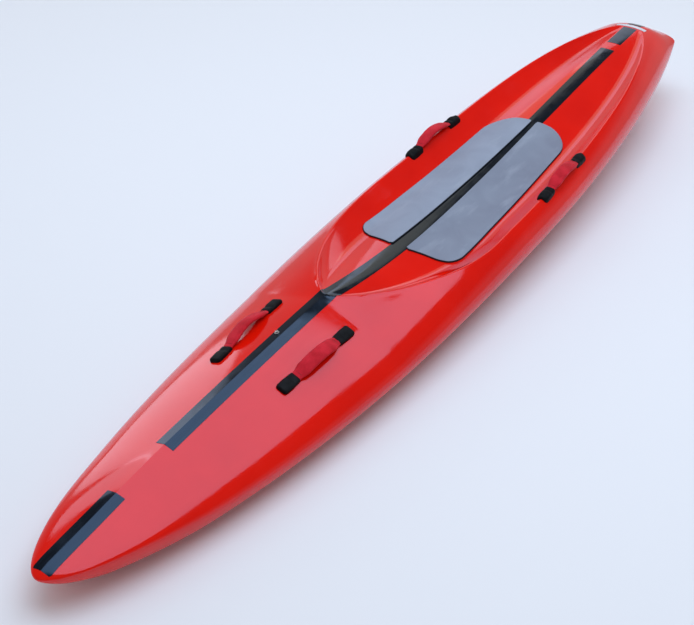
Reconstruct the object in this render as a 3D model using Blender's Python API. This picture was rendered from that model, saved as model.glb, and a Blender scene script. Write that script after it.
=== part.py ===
"""Kneeling race paddle board: foam core in a red gelcoat skin, sunk cockpit with two knee pads,
four padded handles, a vent in the foredeck and a fin that slides in a box under the tail.

Metres, +Z up, +X towards the nose and +Y to port. Places along the board are distances from the
nose, called s, and heights are above the flat of the bottom until the board is stood on its fin.
"""

import math

import bmesh
import bpy
import numpy as np
from mathutils import Matrix, Vector

# Plan outline
BOARD_LENGTH = 3.20
BEAM = 0.554
WIDE_POINT = 1.67          # from the nose to the widest section
BOW_FULLNESS = 2.2         # exponents of the bow's curve in plan
BOW_ROUNDING = 1.71
TAIL_WIDTH = 0.236
QUARTER_FULLNESS = 2.48
TAIL_CORNER = 0.030        # how far ahead of the tail's end its corners start
TAIL_SQUARENESS = 2.6

# Places of the frames that shape the hull, from the nose and then from the tail
BOW_FRAME = 0.15
FORE_FRAME = 0.40
MOUTH_FRAME = 1.05
MID_FRAME = 1.90
QUARTER_SETBACK = 0.60
TAIL_SETBACK = 0.13

# Height of the bottom on the centre line
KEEL_TIP = 0.108
KEEL_BOW = 0.043
KEEL_FORE = 0.010
KEEL_MOUTH = 0.0033
KEEL_MID = 0.0
KEEL_QUARTER = 0.0083
KEEL_TAIL = 0.034
KEEL_END = 0.055

# Height of the widest line, where the deck and bottom skins meet
RAIL_TIP = 0.128
RAIL_BOW = 0.1186
RAIL_FORE = 0.091
RAIL_MOUTH = 0.067
RAIL_MID = 0.0743
RAIL_QUARTER = 0.0867
RAIL_TAIL = 0.0821
RAIL_END = 0.100

# Height of the deck's ridge, before the cockpit is sunk into it
CROWN_TIP = 0.139
CROWN_BOW = 0.1522
CROWN_FORE = 0.1764
CROWN_MOUTH = 0.1955
CROWN_MID = 0.1923
CROWN_QUARTER = 0.2174
CROWN_TAIL = 0.170
CROWN_END = 0.1122

# Section shapes: near 1 the deck is a roof with a ridge, above 2 it is a barrel
DECK_SHAPE_TIP = 1.29
DECK_SHAPE_FORE = 0.95
DECK_SHAPE_MOUTH = 1.05
DECK_SHAPE_MID = 2.55
DECK_SHAPE_END = 2.06
DECK_ROUNDING = 1.8
BILGE_TIP = 2.56
BILGE_MAIN = 3.8
BELLY_FLATNESS_TIP = 2.0
BELLY_FLATNESS = 2.5
BARREL_FRAME = 1.70        # from here aft the deck is a barrel
NOSE_RADIUS = 0.050        # in side view
TAIL_RADIUS = 0.020
BLUNT_END = 0.985          # share of the tail's curves that is drawn before its flat end

# Sunk cockpit
DISH_MOUTH = 1.076         # where its rim crosses the ridge
DISH_SCOOP = 0.55          # length over which the rim opens to its full width
DISH_LOW = 1.80            # lowest place of the floor
DISH_FLOOR = 0.1227        # height of the floor's spine there
DISH_RUNOUT_HEIGHT = 0.1742
DISH_RUNOUT = 0.13         # from the tail's end, where the floor runs out
DISH_NARROWS = 2.10
GUNWALE = 0.046            # from the widest line in to the rim
DISH_WELL = 0.69           # how much deeper the floor lies beside its spine, as a share
DISH_WALL = 0.36           # width of the slope up to the rim, as a share of the rim's own
RIM_ROUNDING = 0.06        # roundings at the top and foot of that slope, as shares of it
FOOT_ROUNDING = 0.35
RAMP_SHAPE = 2.5
SCOOP_ROUNDING = 0.75      # exponents of the rim's curves in plan, at its two ends
RUNOUT_TAPER = 4.5
RUNOUT_ROUNDING = 0.5
RAIL_FADE = 20             # power that keeps the rim's rounding off the widest line

# Skins, core and stringer
SKIN = 0.0020
STRINGER = 0.0040
SOLID_NOSE = 0.035         # the skins are solid as far as this from the nose
SOLID_TAIL = 0.022
FIT = 0.0003               # gap between pieces that touch
PAST = 0.02                # how far a cutter runs past the wall that it cuts

# Centre band and tail strip
BAND_WIDTH = 0.050
BAND_THICKNESS = 0.0004
BAND_NOSE_START = 0.018
BAND_NOSE_END = 0.257
BAND_MIDDLE_START = 0.423
BAND_MIDDLE_SETBACK = 0.360  # from the tail's end, as are the next two setbacks
BAND_TAIL_SETBACK = 0.309
BAND_TAIL_LENGTH = 0.142
BAND_END_SETBACK = 0.131
BAND_END_LENGTH = 0.042
TAIL_STRIP_LENGTH = 0.020
TAIL_STRIP_WIDTH = 0.108
TAIL_STRIP_BOW = 0.006     # how far its middle lies aft of its ends
TAIL_STRIP_THICKNESS = 0.0012

# Knee pads
PAD_START = 1.437
PAD_END = 2.282
PAD_THICKNESS = 0.0055
PAD_GAP_FORE = 0.042       # between the two pads
PAD_GAP_AFT = 0.016
PAD_HALF_FORE = 0.163      # from the centre line to a pad's outer edge
PAD_HALF_AFT = 0.140
PAD_CORNER_FORE = 0.055
PAD_CORNER_AFT = 0.105

# Handles
HANDLE_LENGTH = 0.290
HANDLE_WIDTH = 0.035
BOW_HANDLE_PLACE = 0.877
BOW_HANDLE_OFFSET = 0.1055
BOW_HANDLE_SPLAY = math.radians(2.4)  # its aft end lies farther out
COCKPIT_HANDLE_PLACE = 2.018
COCKPIT_HANDLE_OFFSET = 0.2245
COCKPIT_HANDLE_SPLAY = math.radians(-1.3)
WEBBING_WIDTH = 0.025
WEBBING_THICKNESS = 0.0022
WEBBING_FLAT = 0.003       # of flat webbing left beyond the washer, and short of the cover's wall
SLEEVE_THICKNESS = 0.014
SLEEVE_SWELL = 0.004       # extra width at the middle of the sleeve
SLEEVE_END_WIDTH = 0.031
SLEEVE_END_THICKNESS = 0.0085
SLEEVE_SIDES = 10
SLEEVE_FLATNESS = 0.6      # exponents of its rounded section, across and through
SLEEVE_CROWN = 0.8
SLEEVE_TAPER = 4           # power by which it narrows towards its ends
WEBBING_STEPS = 11         # sections drawn along the arch
HANDLE_RISE = 0.021        # of the webbing at the middle over its ends
COVER_LENGTH = 0.060
COVER_HEIGHT = 0.0105
COVER_SKIRT = 0.014        # how far its sides may reach down to follow the deck
COVER_WALL = 0.0022
COVER_CORNER = 0.008
COVER_EDGE = 0.0022
SCREW_SETBACK = 0.026      # from a handle's end in to its screw
SCREW_DIAMETER = 0.0055
SCREW_LENGTH = 0.018
SCREW_HEAD_DIAMETER = 0.0115
SCREW_HEAD_HEIGHT = 0.0028
HEAD_TOP_SHARE = 0.7       # a rounded head's radius near its top, as a share of its own
HEAD_SHOULDER = 0.85       # heights of its shoulder and of its straight side, as shares
HEAD_SIDE = 0.3
SCREW_TIP = 0.001          # chamfer at the screw's end
SCREW_ROOM = 0.0015        # below the screw in its blind hole
WASHER_DIAMETER = 0.016
WASHER_THICKNESS = 0.0012
PLUG_DIAMETER = 0.019
PLUG_FLANGE_DIAMETER = 0.0235
PLUG_FLANGE_THICKNESS = 0.0016
PLUG_LENGTH = 0.024

# Vent
VENT_PLACE = 0.881
VENT_OFFSET = 0.0145
VENT_DIAMETER = 0.0095
VENT_FLANGE_DIAMETER = 0.0125
VENT_FLANGE_THICKNESS = 0.0014
VENT_DEPTH = 0.016
VENT_WELL = 0.060          # depth of the air hole drilled into the foam under it
VENT_EDGE = 0.0004         # chamfer round its flange
VENT_BORE = 0.0052
VENT_SCREW_LENGTH = 0.010
VENT_SCREW_DIAMETER = 0.0042
VENT_HEAD_DIAMETER = 0.0088
VENT_HEAD_HEIGHT = 0.0022
VENT_HEX = 0.0030
VENT_HEX_FLOOR = 0.35      # height of the socket's floor in the head, as a share of it
VENT_HEAD_TOP = 0.85       # radius of the head's flat top, as a share of its own
VENT_HEAD_SIDE = 0.6
ORING_SIDES = 6
ORING_DIAMETER = 0.0066    # to the middle of its section
ORING_SECTION = 0.0011

# Fin and its box
FIN_BOX_SETBACK = 0.400    # from the tail's end to the middle of the box
FIN_BOX_LENGTH = 0.262
FIN_BOX_WIDTH = 0.026
FIN_BOX_DEPTH = 0.030
FIN_BOX_SLOT = 0.0098
FIN_BOX_WALL = 0.007       # at the ends of the slot
FIN_BOX_ROOF = 0.003
FIN_BOX_ROUNDING = 0.9     # of its ends in plan, as a share of half its width
FIN_GROOVE_WIDTH = 0.0178  # of the side grooves that carry the pin and the nut
FIN_GROOVE_HEIGHT = 0.0062
FIN_GROOVE_DEPTH = 0.0105  # from the bottom's face up to the groove
FIN_THICKNESS = 0.0088
FIN_HEIGHT = 0.122         # below the bottom's face
FIN_CHORD = 0.118
FIN_TIP_CHORD = 0.046
FIN_RAKE = 0.052           # how far the tip is swept aft
FIN_SECTIONS = 8
FIN_TAPER = 1.6            # powers by which the chord shrinks and the sweep grows to the tip
FIN_SWEEP = 1.5
FIN_LEAD_SHARE = 0.45      # share of the lost chord that is lost at the front
FIN_THINNING = 0.65        # share of the thickness that is gone at the tip
FOIL_POINTS = 7            # on each side of a section
FOIL_FULLNESS = 1.9
FOIL_TRAILING = 0.12       # thickness of the trailing edge, as a share
FIN_TAB_LENGTH = 0.158
FIN_TAB_HEIGHT = 0.019     # of the tab inside the box
FIN_TAB_STEP = 0.0075      # height of its front end, which the screw holds
FIN_STEP_LENGTH = 0.024
FIN_JOIN = 0.004           # overlap of the blade with its tab, and of the tab with its toe
TOE_DROP = 0.0009          # how far the toe stands out of the box, under the screw's head
FIN_PIN_DIAMETER = 0.0048
FIN_PIN_LENGTH = 0.0165
FIN_PIN_INSET = 0.012      # from the tab's aft end
FIN_SCREW_DIAMETER = 0.0040
FIN_SCREW_LENGTH = 0.0165
FIN_SCREW_HEAD = 0.0078
FIN_HEAD_HEIGHT = 0.0026
FIN_NUT_LENGTH = 0.018
FIN_NUT_WIDTH = 0.0160
FIN_NUT_HEIGHT = 0.0036

# How finely the skins are drawn
NARROW_BAND = 0.72         # most of the half width that the centre band takes at the nose
NOSE_STEP = 0.006
NOSE_GROWTH = 1.9          # each step from the nose against the one before it
NOSE_SECTIONS = 7
TAIL_GROWTH = 2.0
TAIL_SECTIONS = 5
SCOOP_SPREAD = 1.4         # the sections over the scoop spread out by this power
SCOOP_SECTIONS = 8
RUNOUT_STEP = 0.030        # and so do those over the floor's runout, from its end forward
RUNOUT_SECTIONS = 4
RUN_STEP = 0.145
CLOSE_ROOM = 0.005         # least room between two sections near the ends
OPEN_ROOM = 0.028          # and along the rest of the board
LEAST_INNER = 0.30         # least share of the deck that the columns inside the rim take
TAIL_SPREAD = 0.05         # length over which the columns spread again behind the cockpit
FACING_STEP = 0.012        # to each side, when the deck's slope is measured
SIDES = 8
LARGE_SIDES = 12

NOSE_X = BOARD_LENGTH / 2
HALF_BEAM = BEAM / 2
BAND_HALF = BAND_WIDTH / 2
TAIL_HALF = TAIL_WIDTH / 2
DISH_END = BOARD_LENGTH - DISH_RUNOUT
FRAMES = [
    0.0,
    BOW_FRAME,
    FORE_FRAME,
    MOUTH_FRAME,
    MID_FRAME,
    BOARD_LENGTH - QUARTER_SETBACK,
    BOARD_LENGTH - TAIL_SETBACK,
    BOARD_LENGTH,
]
KEEL = [KEEL_TIP, KEEL_BOW, KEEL_FORE, KEEL_MOUTH, KEEL_MID, KEEL_QUARTER, KEEL_TAIL, KEEL_END]
RAIL = [RAIL_TIP, RAIL_BOW, RAIL_FORE, RAIL_MOUTH, RAIL_MID, RAIL_QUARTER, RAIL_TAIL, RAIL_END]
CROWN = [
    CROWN_TIP,
    CROWN_BOW,
    CROWN_FORE,
    CROWN_MOUTH,
    CROWN_MID,
    CROWN_QUARTER,
    CROWN_TAIL,
    CROWN_END,
]
SHAPE_FRAMES = [0.0, FORE_FRAME, MOUTH_FRAME, BARREL_FRAME, BOARD_LENGTH]
DECK_SHAPE = [
    DECK_SHAPE_TIP,
    DECK_SHAPE_FORE,
    DECK_SHAPE_MOUTH,
    DECK_SHAPE_MID,
    DECK_SHAPE_END,
]


# Hull surfaces


def fair(places, values, s):
    """A fair curve through the values that never overshoots them."""
    places = np.asarray(places, float)
    values = np.asarray(values, float)
    steps = np.diff(places)
    slopes = np.diff(values) / steps
    tangents = np.zeros(len(places))
    for k in range(1, len(places) - 1):
        if slopes[k - 1] * slopes[k] > 0:
            before = 2 * steps[k] + steps[k - 1]
            after = steps[k] + 2 * steps[k - 1]
            tangents[k] = (before + after) / (before / slopes[k - 1] + after / slopes[k])
    tangents[0] = slopes[0]
    tangents[-1] = slopes[-1]
    s = np.clip(s, places[0], places[-1])
    k = np.clip(np.searchsorted(places, s, side="right") - 1, 0, len(steps) - 1)
    t = (s - places[k]) / steps[k]
    return (
        values[k] * (1 + 2 * t) * (1 - t) ** 2
        + steps[k] * tangents[k] * t * (1 - t) ** 2
        + values[k + 1] * t * t * (3 - 2 * t)
        - steps[k] * tangents[k + 1] * t * t * (1 - t)
    )


def half_beam(s):
    t = np.clip(s / WIDE_POINT, 0, 1)
    bow = HALF_BEAM * (1 - (1 - t) ** BOW_FULLNESS) ** (1 / BOW_ROUNDING)
    t = np.clip((s - WIDE_POINT) / (BOARD_LENGTH - WIDE_POINT), 0, 1)
    quarter = TAIL_HALF + (HALF_BEAM - TAIL_HALF) * (1 - t**QUARTER_FULLNESS)
    u = np.clip((s - BOARD_LENGTH + TAIL_CORNER) / TAIL_CORNER, 0, BLUNT_END)
    corner = (1 - u**TAIL_SQUARENESS) ** (1 / TAIL_SQUARENESS)
    return np.where(s < WIDE_POINT, bow, quarter) * corner


def end_closing(s):
    """1 along the board, falling in a quarter circle to 0 at the nose and nearly so at the tail."""
    nose = np.clip(1 - s / NOSE_RADIUS, 0, 1)
    tail = np.clip(1 - (BOARD_LENGTH - s) / TAIL_RADIUS, 0, BLUNT_END)
    return np.sqrt(1 - nose**2) * np.sqrt(1 - tail**2)


def rail_height(s):
    return fair(FRAMES, RAIL, s)


def crown_height(s):
    rail = rail_height(s)
    return rail + (fair(FRAMES, CROWN, s) - rail) * end_closing(s)


def keel_height(s):
    rail = rail_height(s)
    return rail - (rail - fair(FRAMES, KEEL, s)) * end_closing(s)


def barrel(share, width_power, height_power):
    """Height of a section as a share of its crown, from 1 at the middle to 0 at the rail."""
    return (1 - np.clip(share, 0, 1) ** width_power) ** (1 / height_power)


def across_share(s, y):
    return np.clip(np.abs(y) / np.maximum(half_beam(s), 1e-9), 0, 1)


def crown_surface(s, y):
    """The deck as it would be with no cockpit in it."""
    rail = rail_height(s)
    shape = np.interp(s, SHAPE_FRAMES, DECK_SHAPE)
    return rail + (crown_height(s) - rail) * barrel(across_share(s, y), shape, DECK_ROUNDING)


def spine_height(s):
    """The middle of the cockpit floor, from the ridge down to its low point and up to the tail."""
    ridge = crown_height(DISH_MOUTH)
    u = np.clip((s - DISH_MOUTH) / (DISH_LOW - DISH_MOUTH), 0, 1)
    ramp = DISH_FLOOR + (ridge - DISH_FLOOR) * (1 - u) ** RAMP_SHAPE
    t = np.clip((s - DISH_LOW) / (DISH_END - DISH_LOW), 0, 1)
    runout = DISH_FLOOR + (DISH_RUNOUT_HEIGHT - DISH_FLOOR) * t * t * (3 - 2 * t)
    return np.where(s < DISH_LOW, ramp, runout)


def rim_half(s):
    """Half the width of the cockpit at its rim."""
    u = np.clip((s - DISH_MOUTH) / DISH_SCOOP, 0, 1)
    t = np.clip((s - DISH_NARROWS) / (DISH_END - DISH_NARROWS), 0, 1)
    full = np.maximum(half_beam(s) - GUNWALE, 0)
    return full * (1 - (1 - u) ** 2) ** SCOOP_ROUNDING * (1 - t**RUNOUT_TAPER) ** RUNOUT_ROUNDING


def soft_least(a, b, blend):
    return (a + b - np.sqrt((a - b) ** 2 + blend**2)) / 2


def wall_profile(x):
    """0 at the rim, 1 on the floor, a straight slope between them with rounded ends."""
    foot = soft_least(x, 1.0, FOOT_ROUNDING)
    return -soft_least(-foot, 0.0, RIM_ROUNDING)


def dish_depth(s, y):
    rim = np.maximum(rim_half(s), 1e-4)
    out = np.abs(y) / rim
    depth = np.maximum(crown_height(s) - spine_height(s), 0)
    well = 1 + DISH_WELL * np.minimum(out, 1) ** 2
    cut = depth * well * wall_profile((1 - out) / DISH_WALL)
    cut = cut * (1 - across_share(s, y) ** RAIL_FADE)
    return np.where((s > DISH_MOUTH) & (s < DISH_END), cut, 0)


def deck_height(s, y):
    return crown_surface(s, y) - dish_depth(s, y)


def belly_height(s, y):
    rail = rail_height(s)
    bilge = np.interp(s, [0, MOUTH_FRAME], [BILGE_TIP, BILGE_MAIN])
    flat = np.interp(s, [0, MOUTH_FRAME], [BELLY_FLATNESS_TIP, BELLY_FLATNESS])
    return rail - (rail - keel_height(s)) * barrel(across_share(s, y), bilge, flat)


# Grids over the hull

TAIL_BAND_START = BOARD_LENGTH - BAND_TAIL_SETBACK
LAST_BAND_START = BOARD_LENGTH - BAND_END_SETBACK
BANDS = {
    "band_nose": (BAND_NOSE_START, BAND_NOSE_END),
    "band_middle": (BAND_MIDDLE_START, BOARD_LENGTH - BAND_MIDDLE_SETBACK),
    "band_tail": (TAIL_BAND_START, TAIL_BAND_START + BAND_TAIL_LENGTH),
    "band_end": (LAST_BAND_START, LAST_BAND_START + BAND_END_LENGTH),
}


def station_places():
    """Sections at which the skins are drawn: close at the ends and the cockpit's mouth."""
    wanted = [0.0, BOARD_LENGTH, DISH_MOUTH, PAD_START, PAD_END]
    wanted += [edge for piece in BANDS.values() for edge in piece]
    spare = [NOSE_STEP * NOSE_GROWTH**k for k in range(NOSE_SECTIONS)]
    spare += [BOARD_LENGTH - NOSE_STEP * TAIL_GROWTH**k for k in range(TAIL_SECTIONS)]
    for k in range(1, SCOOP_SECTIONS + 1):
        spare.append(DISH_MOUTH + DISH_SCOOP * (k / SCOOP_SECTIONS) ** SCOOP_SPREAD)
    for k in range(1, RUNOUT_SECTIONS + 1):
        spare.append(DISH_END - RUNOUT_STEP * k**SCOOP_SPREAD)
    spare += list(np.arange(FORE_FRAME, BOARD_LENGTH, RUN_STEP))
    places = sorted(set(wanted))
    for s in sorted(spare):
        room = min(abs(s - other) for other in places)
        near_end = min(s, BOARD_LENGTH - s) < 2 * NOSE_RADIUS
        if room > (CLOSE_ROOM if near_end else OPEN_ROOM):
            places.append(s)
    return np.array(sorted(set(places)))


STATIONS = station_places()
DECK_SHARES = np.array([0.35, 0.60, 0.74, 0.88, 1.0])
RAIL_SHARES = np.array([0.30, 0.60, 0.82, 0.95, 1.0])
BELLY_SHARES = np.array([0.0, 0.42, 0.74, 0.90, 0.97, 1.0])


def deck_columns(s):
    """Distances from the centre line at which a deck section is drawn, from 0 to the rail.

    They follow the band's edge and the cockpit's rim, and crowd inside and outside of that rim.
    """
    half = half_beam(s)
    band = np.minimum(BAND_HALF, NARROW_BAND * half)
    least = band + (half - band) * LEAST_INNER
    most = np.maximum(half - GUNWALE, (band + half) / 2)
    lead = np.interp(s, [FORE_FRAME, DISH_MOUTH, DISH_END, DISH_END + TAIL_SPREAD], [0, 1, 1, 0])
    beside = most + (least - most) * lead
    rim = np.clip(rim_half(s), least, most) if DISH_MOUTH < s < DISH_END else beside
    inner = band + (rim - band) * DECK_SHARES
    outer = rim + (half - rim) * RAIL_SHARES
    return np.concatenate([[0.0, band], inner, outer])


def both_sides(columns):
    """From the port rail over the middle to the starboard rail."""
    return np.concatenate([columns[::-1], -columns[1:]])


def surface_grid(height, columns_at):
    rows = []
    for s in STATIONS:
        y = both_sides(columns_at(s))
        rows.append(np.stack([np.full(len(y), NOSE_X - s), y, height(s, y)], -1))
    return np.array(rows)


def grid_normals(grid):
    """Unit normals that point out of the hull, and lie level where the skins meet."""
    along = np.gradient(grid, axis=0)
    across = np.gradient(grid, axis=1)
    normals = np.cross(along, across)
    middle = grid.shape[1] // 2
    upward = grid[len(grid) // 2, middle, 2] > RAIL_MID
    if (normals[len(grid) // 2, middle, 2] > 0) != upward:
        normals = -normals
    for column in (0, -1):
        run = along[:, column]
        level = np.stack([-run[:, 1], run[:, 0], 0 * run[:, 0]], -1)
        outward = np.sign(np.sum(level * grid[:, column] * (0, 1, 0), -1, keepdims=True))
        normals[:, column] = level * outward
    return normals / np.maximum(np.linalg.norm(normals, axis=-1, keepdims=True), 1e-12)


DECK_GRID = surface_grid(deck_height, deck_columns)
DECK_NORMALS = grid_normals(DECK_GRID)
BELLY_GRID = surface_grid(belly_height, lambda s: half_beam(s) * BELLY_SHARES)
BELLY_NORMALS = grid_normals(BELLY_GRID)
MIDDLE = DECK_GRID.shape[1] // 2
BAND_COLUMNS = slice(MIDDLE - 1, MIDDLE + 2)
BESIDE_BAND = slice(MIDDLE - 2, MIDDLE + 3)
DECK_COLUMNS = slice(len(RAIL_SHARES) - 1, 1 - len(RAIL_SHARES))
PORT_COLUMNS = slice(len(RAIL_SHARES) - 1, MIDDLE + 1)
STARBOARD_COLUMNS = slice(MIDDLE, 1 - len(RAIL_SHARES))
DECK_CLEAR = 0.4           # a height above every part of the deck


def deck_frame(s, y, yaw=0.0):
    """A frame that sits on the deck: X forward, turned by yaw, and Z out of the surface."""
    step = FACING_STEP

    def at(place, side):
        return Vector((NOSE_X - place, side, float(deck_height(place, side))))

    forward = at(s - step, y) - at(s + step, y)
    across = at(s, y + step) - at(s, y - step)
    normal = forward.cross(across).normalized()
    across = normal.cross(forward).normalized()
    forward = across.cross(normal)
    turn = Matrix((forward, across, normal)).transposed().to_4x4()
    return Matrix.Translation(at(s, y)) @ turn @ Matrix.Rotation(yaw, 4, "Z")


# Scene helpers

for leftover in list(bpy.data.objects):
    bpy.data.objects.remove(leftover, do_unlink=True)

PARTS = bpy.data.collections.new("paddle_board")
CUTTERS = bpy.data.collections.new("cutters")
for group in (PARTS, CUTTERS):
    bpy.context.scene.collection.children.link(group)


def finish(name, colour, roughness, metallic=0.0):
    made = bpy.data.materials.new(name)
    made.use_nodes = True
    shader = made.node_tree.nodes["Principled BSDF"]
    shader.inputs["Base Color"].default_value = (*colour, 1)
    shader.inputs["Roughness"].default_value = roughness
    shader.inputs["Metallic"].default_value = metallic
    return made


RED_GELCOAT = (0.66, 0.012, 0.004)


def add_empty(name, matrix, parent):
    empty = bpy.data.objects.new(name, None)
    empty.empty_display_size = 0.05
    PARTS.objects.link(empty)
    empty.parent = parent
    empty.matrix_local = matrix
    return empty


def add_object(name, mesh, look, parent, smooth_angle=math.radians(35)):
    obj = bpy.data.objects.new(name, mesh)
    obj.parent = parent
    if look is None:
        CUTTERS.objects.link(obj)
        obj.hide_render = True
        obj.display_type = "WIRE"
        return obj
    PARTS.objects.link(obj)
    mesh.materials.append(finish(name, *look))
    mesh.shade_smooth()
    mesh.set_sharp_from_angle(angle=smooth_angle)
    return obj


def mesh_from(name, bm):
    bmesh.ops.recalc_face_normals(bm, faces=bm.faces)
    mesh = bpy.data.meshes.new(name)
    bm.to_mesh(mesh)
    bm.free()
    return mesh


def cut(target, cutter, operation="DIFFERENCE"):
    modifier = target.modifiers.new(cutter.name, "BOOLEAN")
    modifier.object = cutter
    modifier.operation = operation


def loft(rings):
    """A closed skin through rings of the same number of points, each a closed loop."""
    bm = bmesh.new()
    loops = [[bm.verts.new(point) for point in ring] for ring in rings]
    count = len(rings[0])
    for first, second in zip(loops, loops[1:]):
        for k in range(count):
            after = (k + 1) % count
            bm.faces.new((first[k], first[after], second[after], second[k]))
    bm.faces.new(loops[0][::-1])
    bm.faces.new(loops[-1])
    return bm


def plate(bm, points):
    """An open grid through the points, every quad split along the same diagonal."""
    rows, columns = points.shape[:2]
    made = bmesh.ops.create_grid(bm, x_segments=columns - 1, y_segments=rows - 1, size=1)
    for vert, point in zip(made["verts"], points.reshape(-1, 3)):
        vert.co = point
    faces = {face for vert in made["verts"] for face in vert.link_faces}
    bmesh.ops.triangulate(bm, faces=list(faces), quad_method="FIXED")
    return made["verts"]


def sheet_solid(outer, inner):
    """A wall between two grids of the same size, with its rims closed."""
    bm = bmesh.new()
    plate(bm, outer)
    plate(bm, inner)
    bmesh.ops.remove_doubles(bm, verts=bm.verts, dist=1e-6)
    bmesh.ops.bridge_loops(bm, edges=[edge for edge in bm.edges if edge.is_boundary])
    return bm


def closed_between(top, under):
    """A body between two grids that meet along their sides."""
    bm = bmesh.new()
    plate(bm, top)
    plate(bm, under)
    bmesh.ops.remove_doubles(bm, verts=bm.verts, dist=1e-6)
    ends = bmesh.ops.holes_fill(bm, edges=[edge for edge in bm.edges if edge.is_boundary])
    bmesh.ops.triangulate(bm, faces=ends["faces"])
    return bm


def hull_solid(inset):
    """The hull with every face moved in by the inset, and without the ends that fill up."""
    rows = STATIONS >= 0
    if inset > 0:
        rows = (STATIONS > SOLID_NOSE) & (STATIONS < BOARD_LENGTH - SOLID_TAIL)
    deck = DECK_GRID - DECK_NORMALS * inset
    belly = BELLY_GRID - BELLY_NORMALS * inset
    return closed_between(deck[rows], belly[rows])


def half_hull(grid, lift):
    """All of the hull on one side of the seam, moved off it by the lift."""
    skin = grid + (0, 0, lift)
    seam = skin.copy()
    seam[:, :, 2] = rail_height(STATIONS)[:, None] + lift
    return closed_between(skin, seam)


def prism(outline, low, high):
    """An outline in X and Y, drawn as a flat filled curve and given its height."""
    curve = bpy.data.curves.new("outline", "CURVE")
    curve.dimensions = "2D"
    curve.fill_mode = "BOTH"
    curve.extrude = (high - low) / 2
    spline = curve.splines.new("POLY")
    spline.points.add(len(outline) - 1)
    for point, (x, y) in zip(spline.points, outline):
        point.co = (x, y, 0, 1)
    spline.use_cyclic_u = True
    holder = bpy.data.objects.new("outline", curve)
    bpy.context.scene.collection.objects.link(holder)
    graph = bpy.context.evaluated_depsgraph_get()
    mesh = bpy.data.meshes.new_from_object(holder.evaluated_get(graph))
    bpy.data.objects.remove(holder, do_unlink=True)
    bm = bmesh.new()
    bm.from_mesh(mesh)
    bmesh.ops.remove_doubles(bm, verts=bm.verts, dist=1e-6)
    bmesh.ops.translate(bm, verts=bm.verts, vec=(0, 0, (low + high) / 2))
    return bm


def cylinder(diameter, low, high, sides=SIDES):
    bm = bmesh.new()
    bmesh.ops.create_cone(
        bm,
        cap_ends=True,
        segments=sides,
        radius1=diameter / 2,
        radius2=diameter / 2,
        depth=high - low,
    )
    bmesh.ops.translate(bm, verts=bm.verts, vec=(0, 0, (low + high) / 2))
    return bm


def box(x_range, y_range, z_range):
    bm = bmesh.new()
    bmesh.ops.create_cube(bm, size=1)
    low, high = (Vector(corner) for corner in zip(x_range, y_range, z_range))
    bmesh.ops.scale(bm, verts=bm.verts, vec=high - low)
    bmesh.ops.translate(bm, verts=bm.verts, vec=(low + high) / 2)
    return bm


def turned(profile, sides=SIDES):
    """A round solid from (radius, height) points that run from the top of its axis to the bottom."""
    bm = bmesh.new()
    points = [bm.verts.new((radius, 0, height)) for radius, height in profile]
    edges = [bm.edges.new(pair) for pair in zip(points, points[1:])]
    bmesh.ops.spin(
        bm,
        geom=points + edges,
        cent=(0, 0, 0),
        axis=(0, 0, 1),
        angle=2 * math.pi,
        steps=sides,
        use_merge=True,
    )
    bmesh.ops.remove_doubles(bm, verts=bm.verts, dist=1e-6)
    return bm


STANCE = bpy.data.objects.new("board_stance", None)
PARTS.objects.link(STANCE)


# Hull


def add_skins():
    inside = add_object("skin_inside", mesh_from("inside", hull_solid(SKIN)), None, STANCE)
    add_object("hull_and_gap", mesh_from("hull", hull_solid(-FIT)), None, STANCE)
    sides = (("deck_shell", DECK_GRID, FIT / 2), ("bottom_shell", BELLY_GRID, -FIT / 2))
    made = []
    for name, grid, lift in sides:
        half = mesh_from(name, half_hull(grid, lift))
        made.append(add_object(name, half, (RED_GELCOAT, 0.08), STANCE))
        cut(made[-1], inside)
    return made


def add_core():
    """Two foam halves and the stringer between them, a skin's thickness inside the hull."""
    far = BOARD_LENGTH
    half = STRINGER / 2
    foam = ((0.85, 0.86, 0.84), 0.9)
    pieces = (
        ("core_port", (half + FIT, far), foam),
        ("core_starboard", (-far, -half - FIT), foam),
        ("stringer", (-half, half), ((0.52, 0.34, 0.18), 0.6)),
    )
    made = []
    for name, sides, look in pieces:
        body = add_object(name, mesh_from(name, hull_solid(SKIN + FIT)), look, STANCE)
        room = mesh_from("room", box((-far, far), sides, (-far, far)))
        cut(body, add_object(name + "_room", room, None, STANCE), "INTERSECT")
        made.append(body)
    return made[:2], made[2]


def add_band(name, start, end):
    """A thin strip on the deck, over the same sections and columns as the skin under it."""
    rows = np.where((STATIONS >= start) & (STATIONS <= end))[0]
    base = DECK_GRID[rows, BAND_COLUMNS]
    normals = DECK_NORMALS[rows, BAND_COLUMNS]
    bm = sheet_solid(base + normals * (FIT + BAND_THICKNESS), base + normals * FIT)
    add_object(name, mesh_from(name, bm), ((0.012, 0.014, 0.018), 0.12), STANCE)


def deck_slab(start, end, low, high, columns):
    """A slab that follows the deck's facets over some of its columns."""
    inside = np.where((STATIONS >= start) & (STATIONS <= end))[0]
    rows = slice(max(inside[0] - 1, 0), inside[-1] + 2)
    base = DECK_GRID[rows, columns]
    normals = DECK_NORMALS[rows, columns]
    return sheet_solid(base + normals * high, base + normals * low)


def rounded_run(centre, radii, start, end, steps):
    """Points on an arc from one angle to another, in degrees."""
    angles = np.radians(np.linspace(start, end, steps + 1))
    return [(centre[0] + radii[0] * math.cos(a), centre[1] + radii[1] * math.sin(a)) for a in angles]


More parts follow.
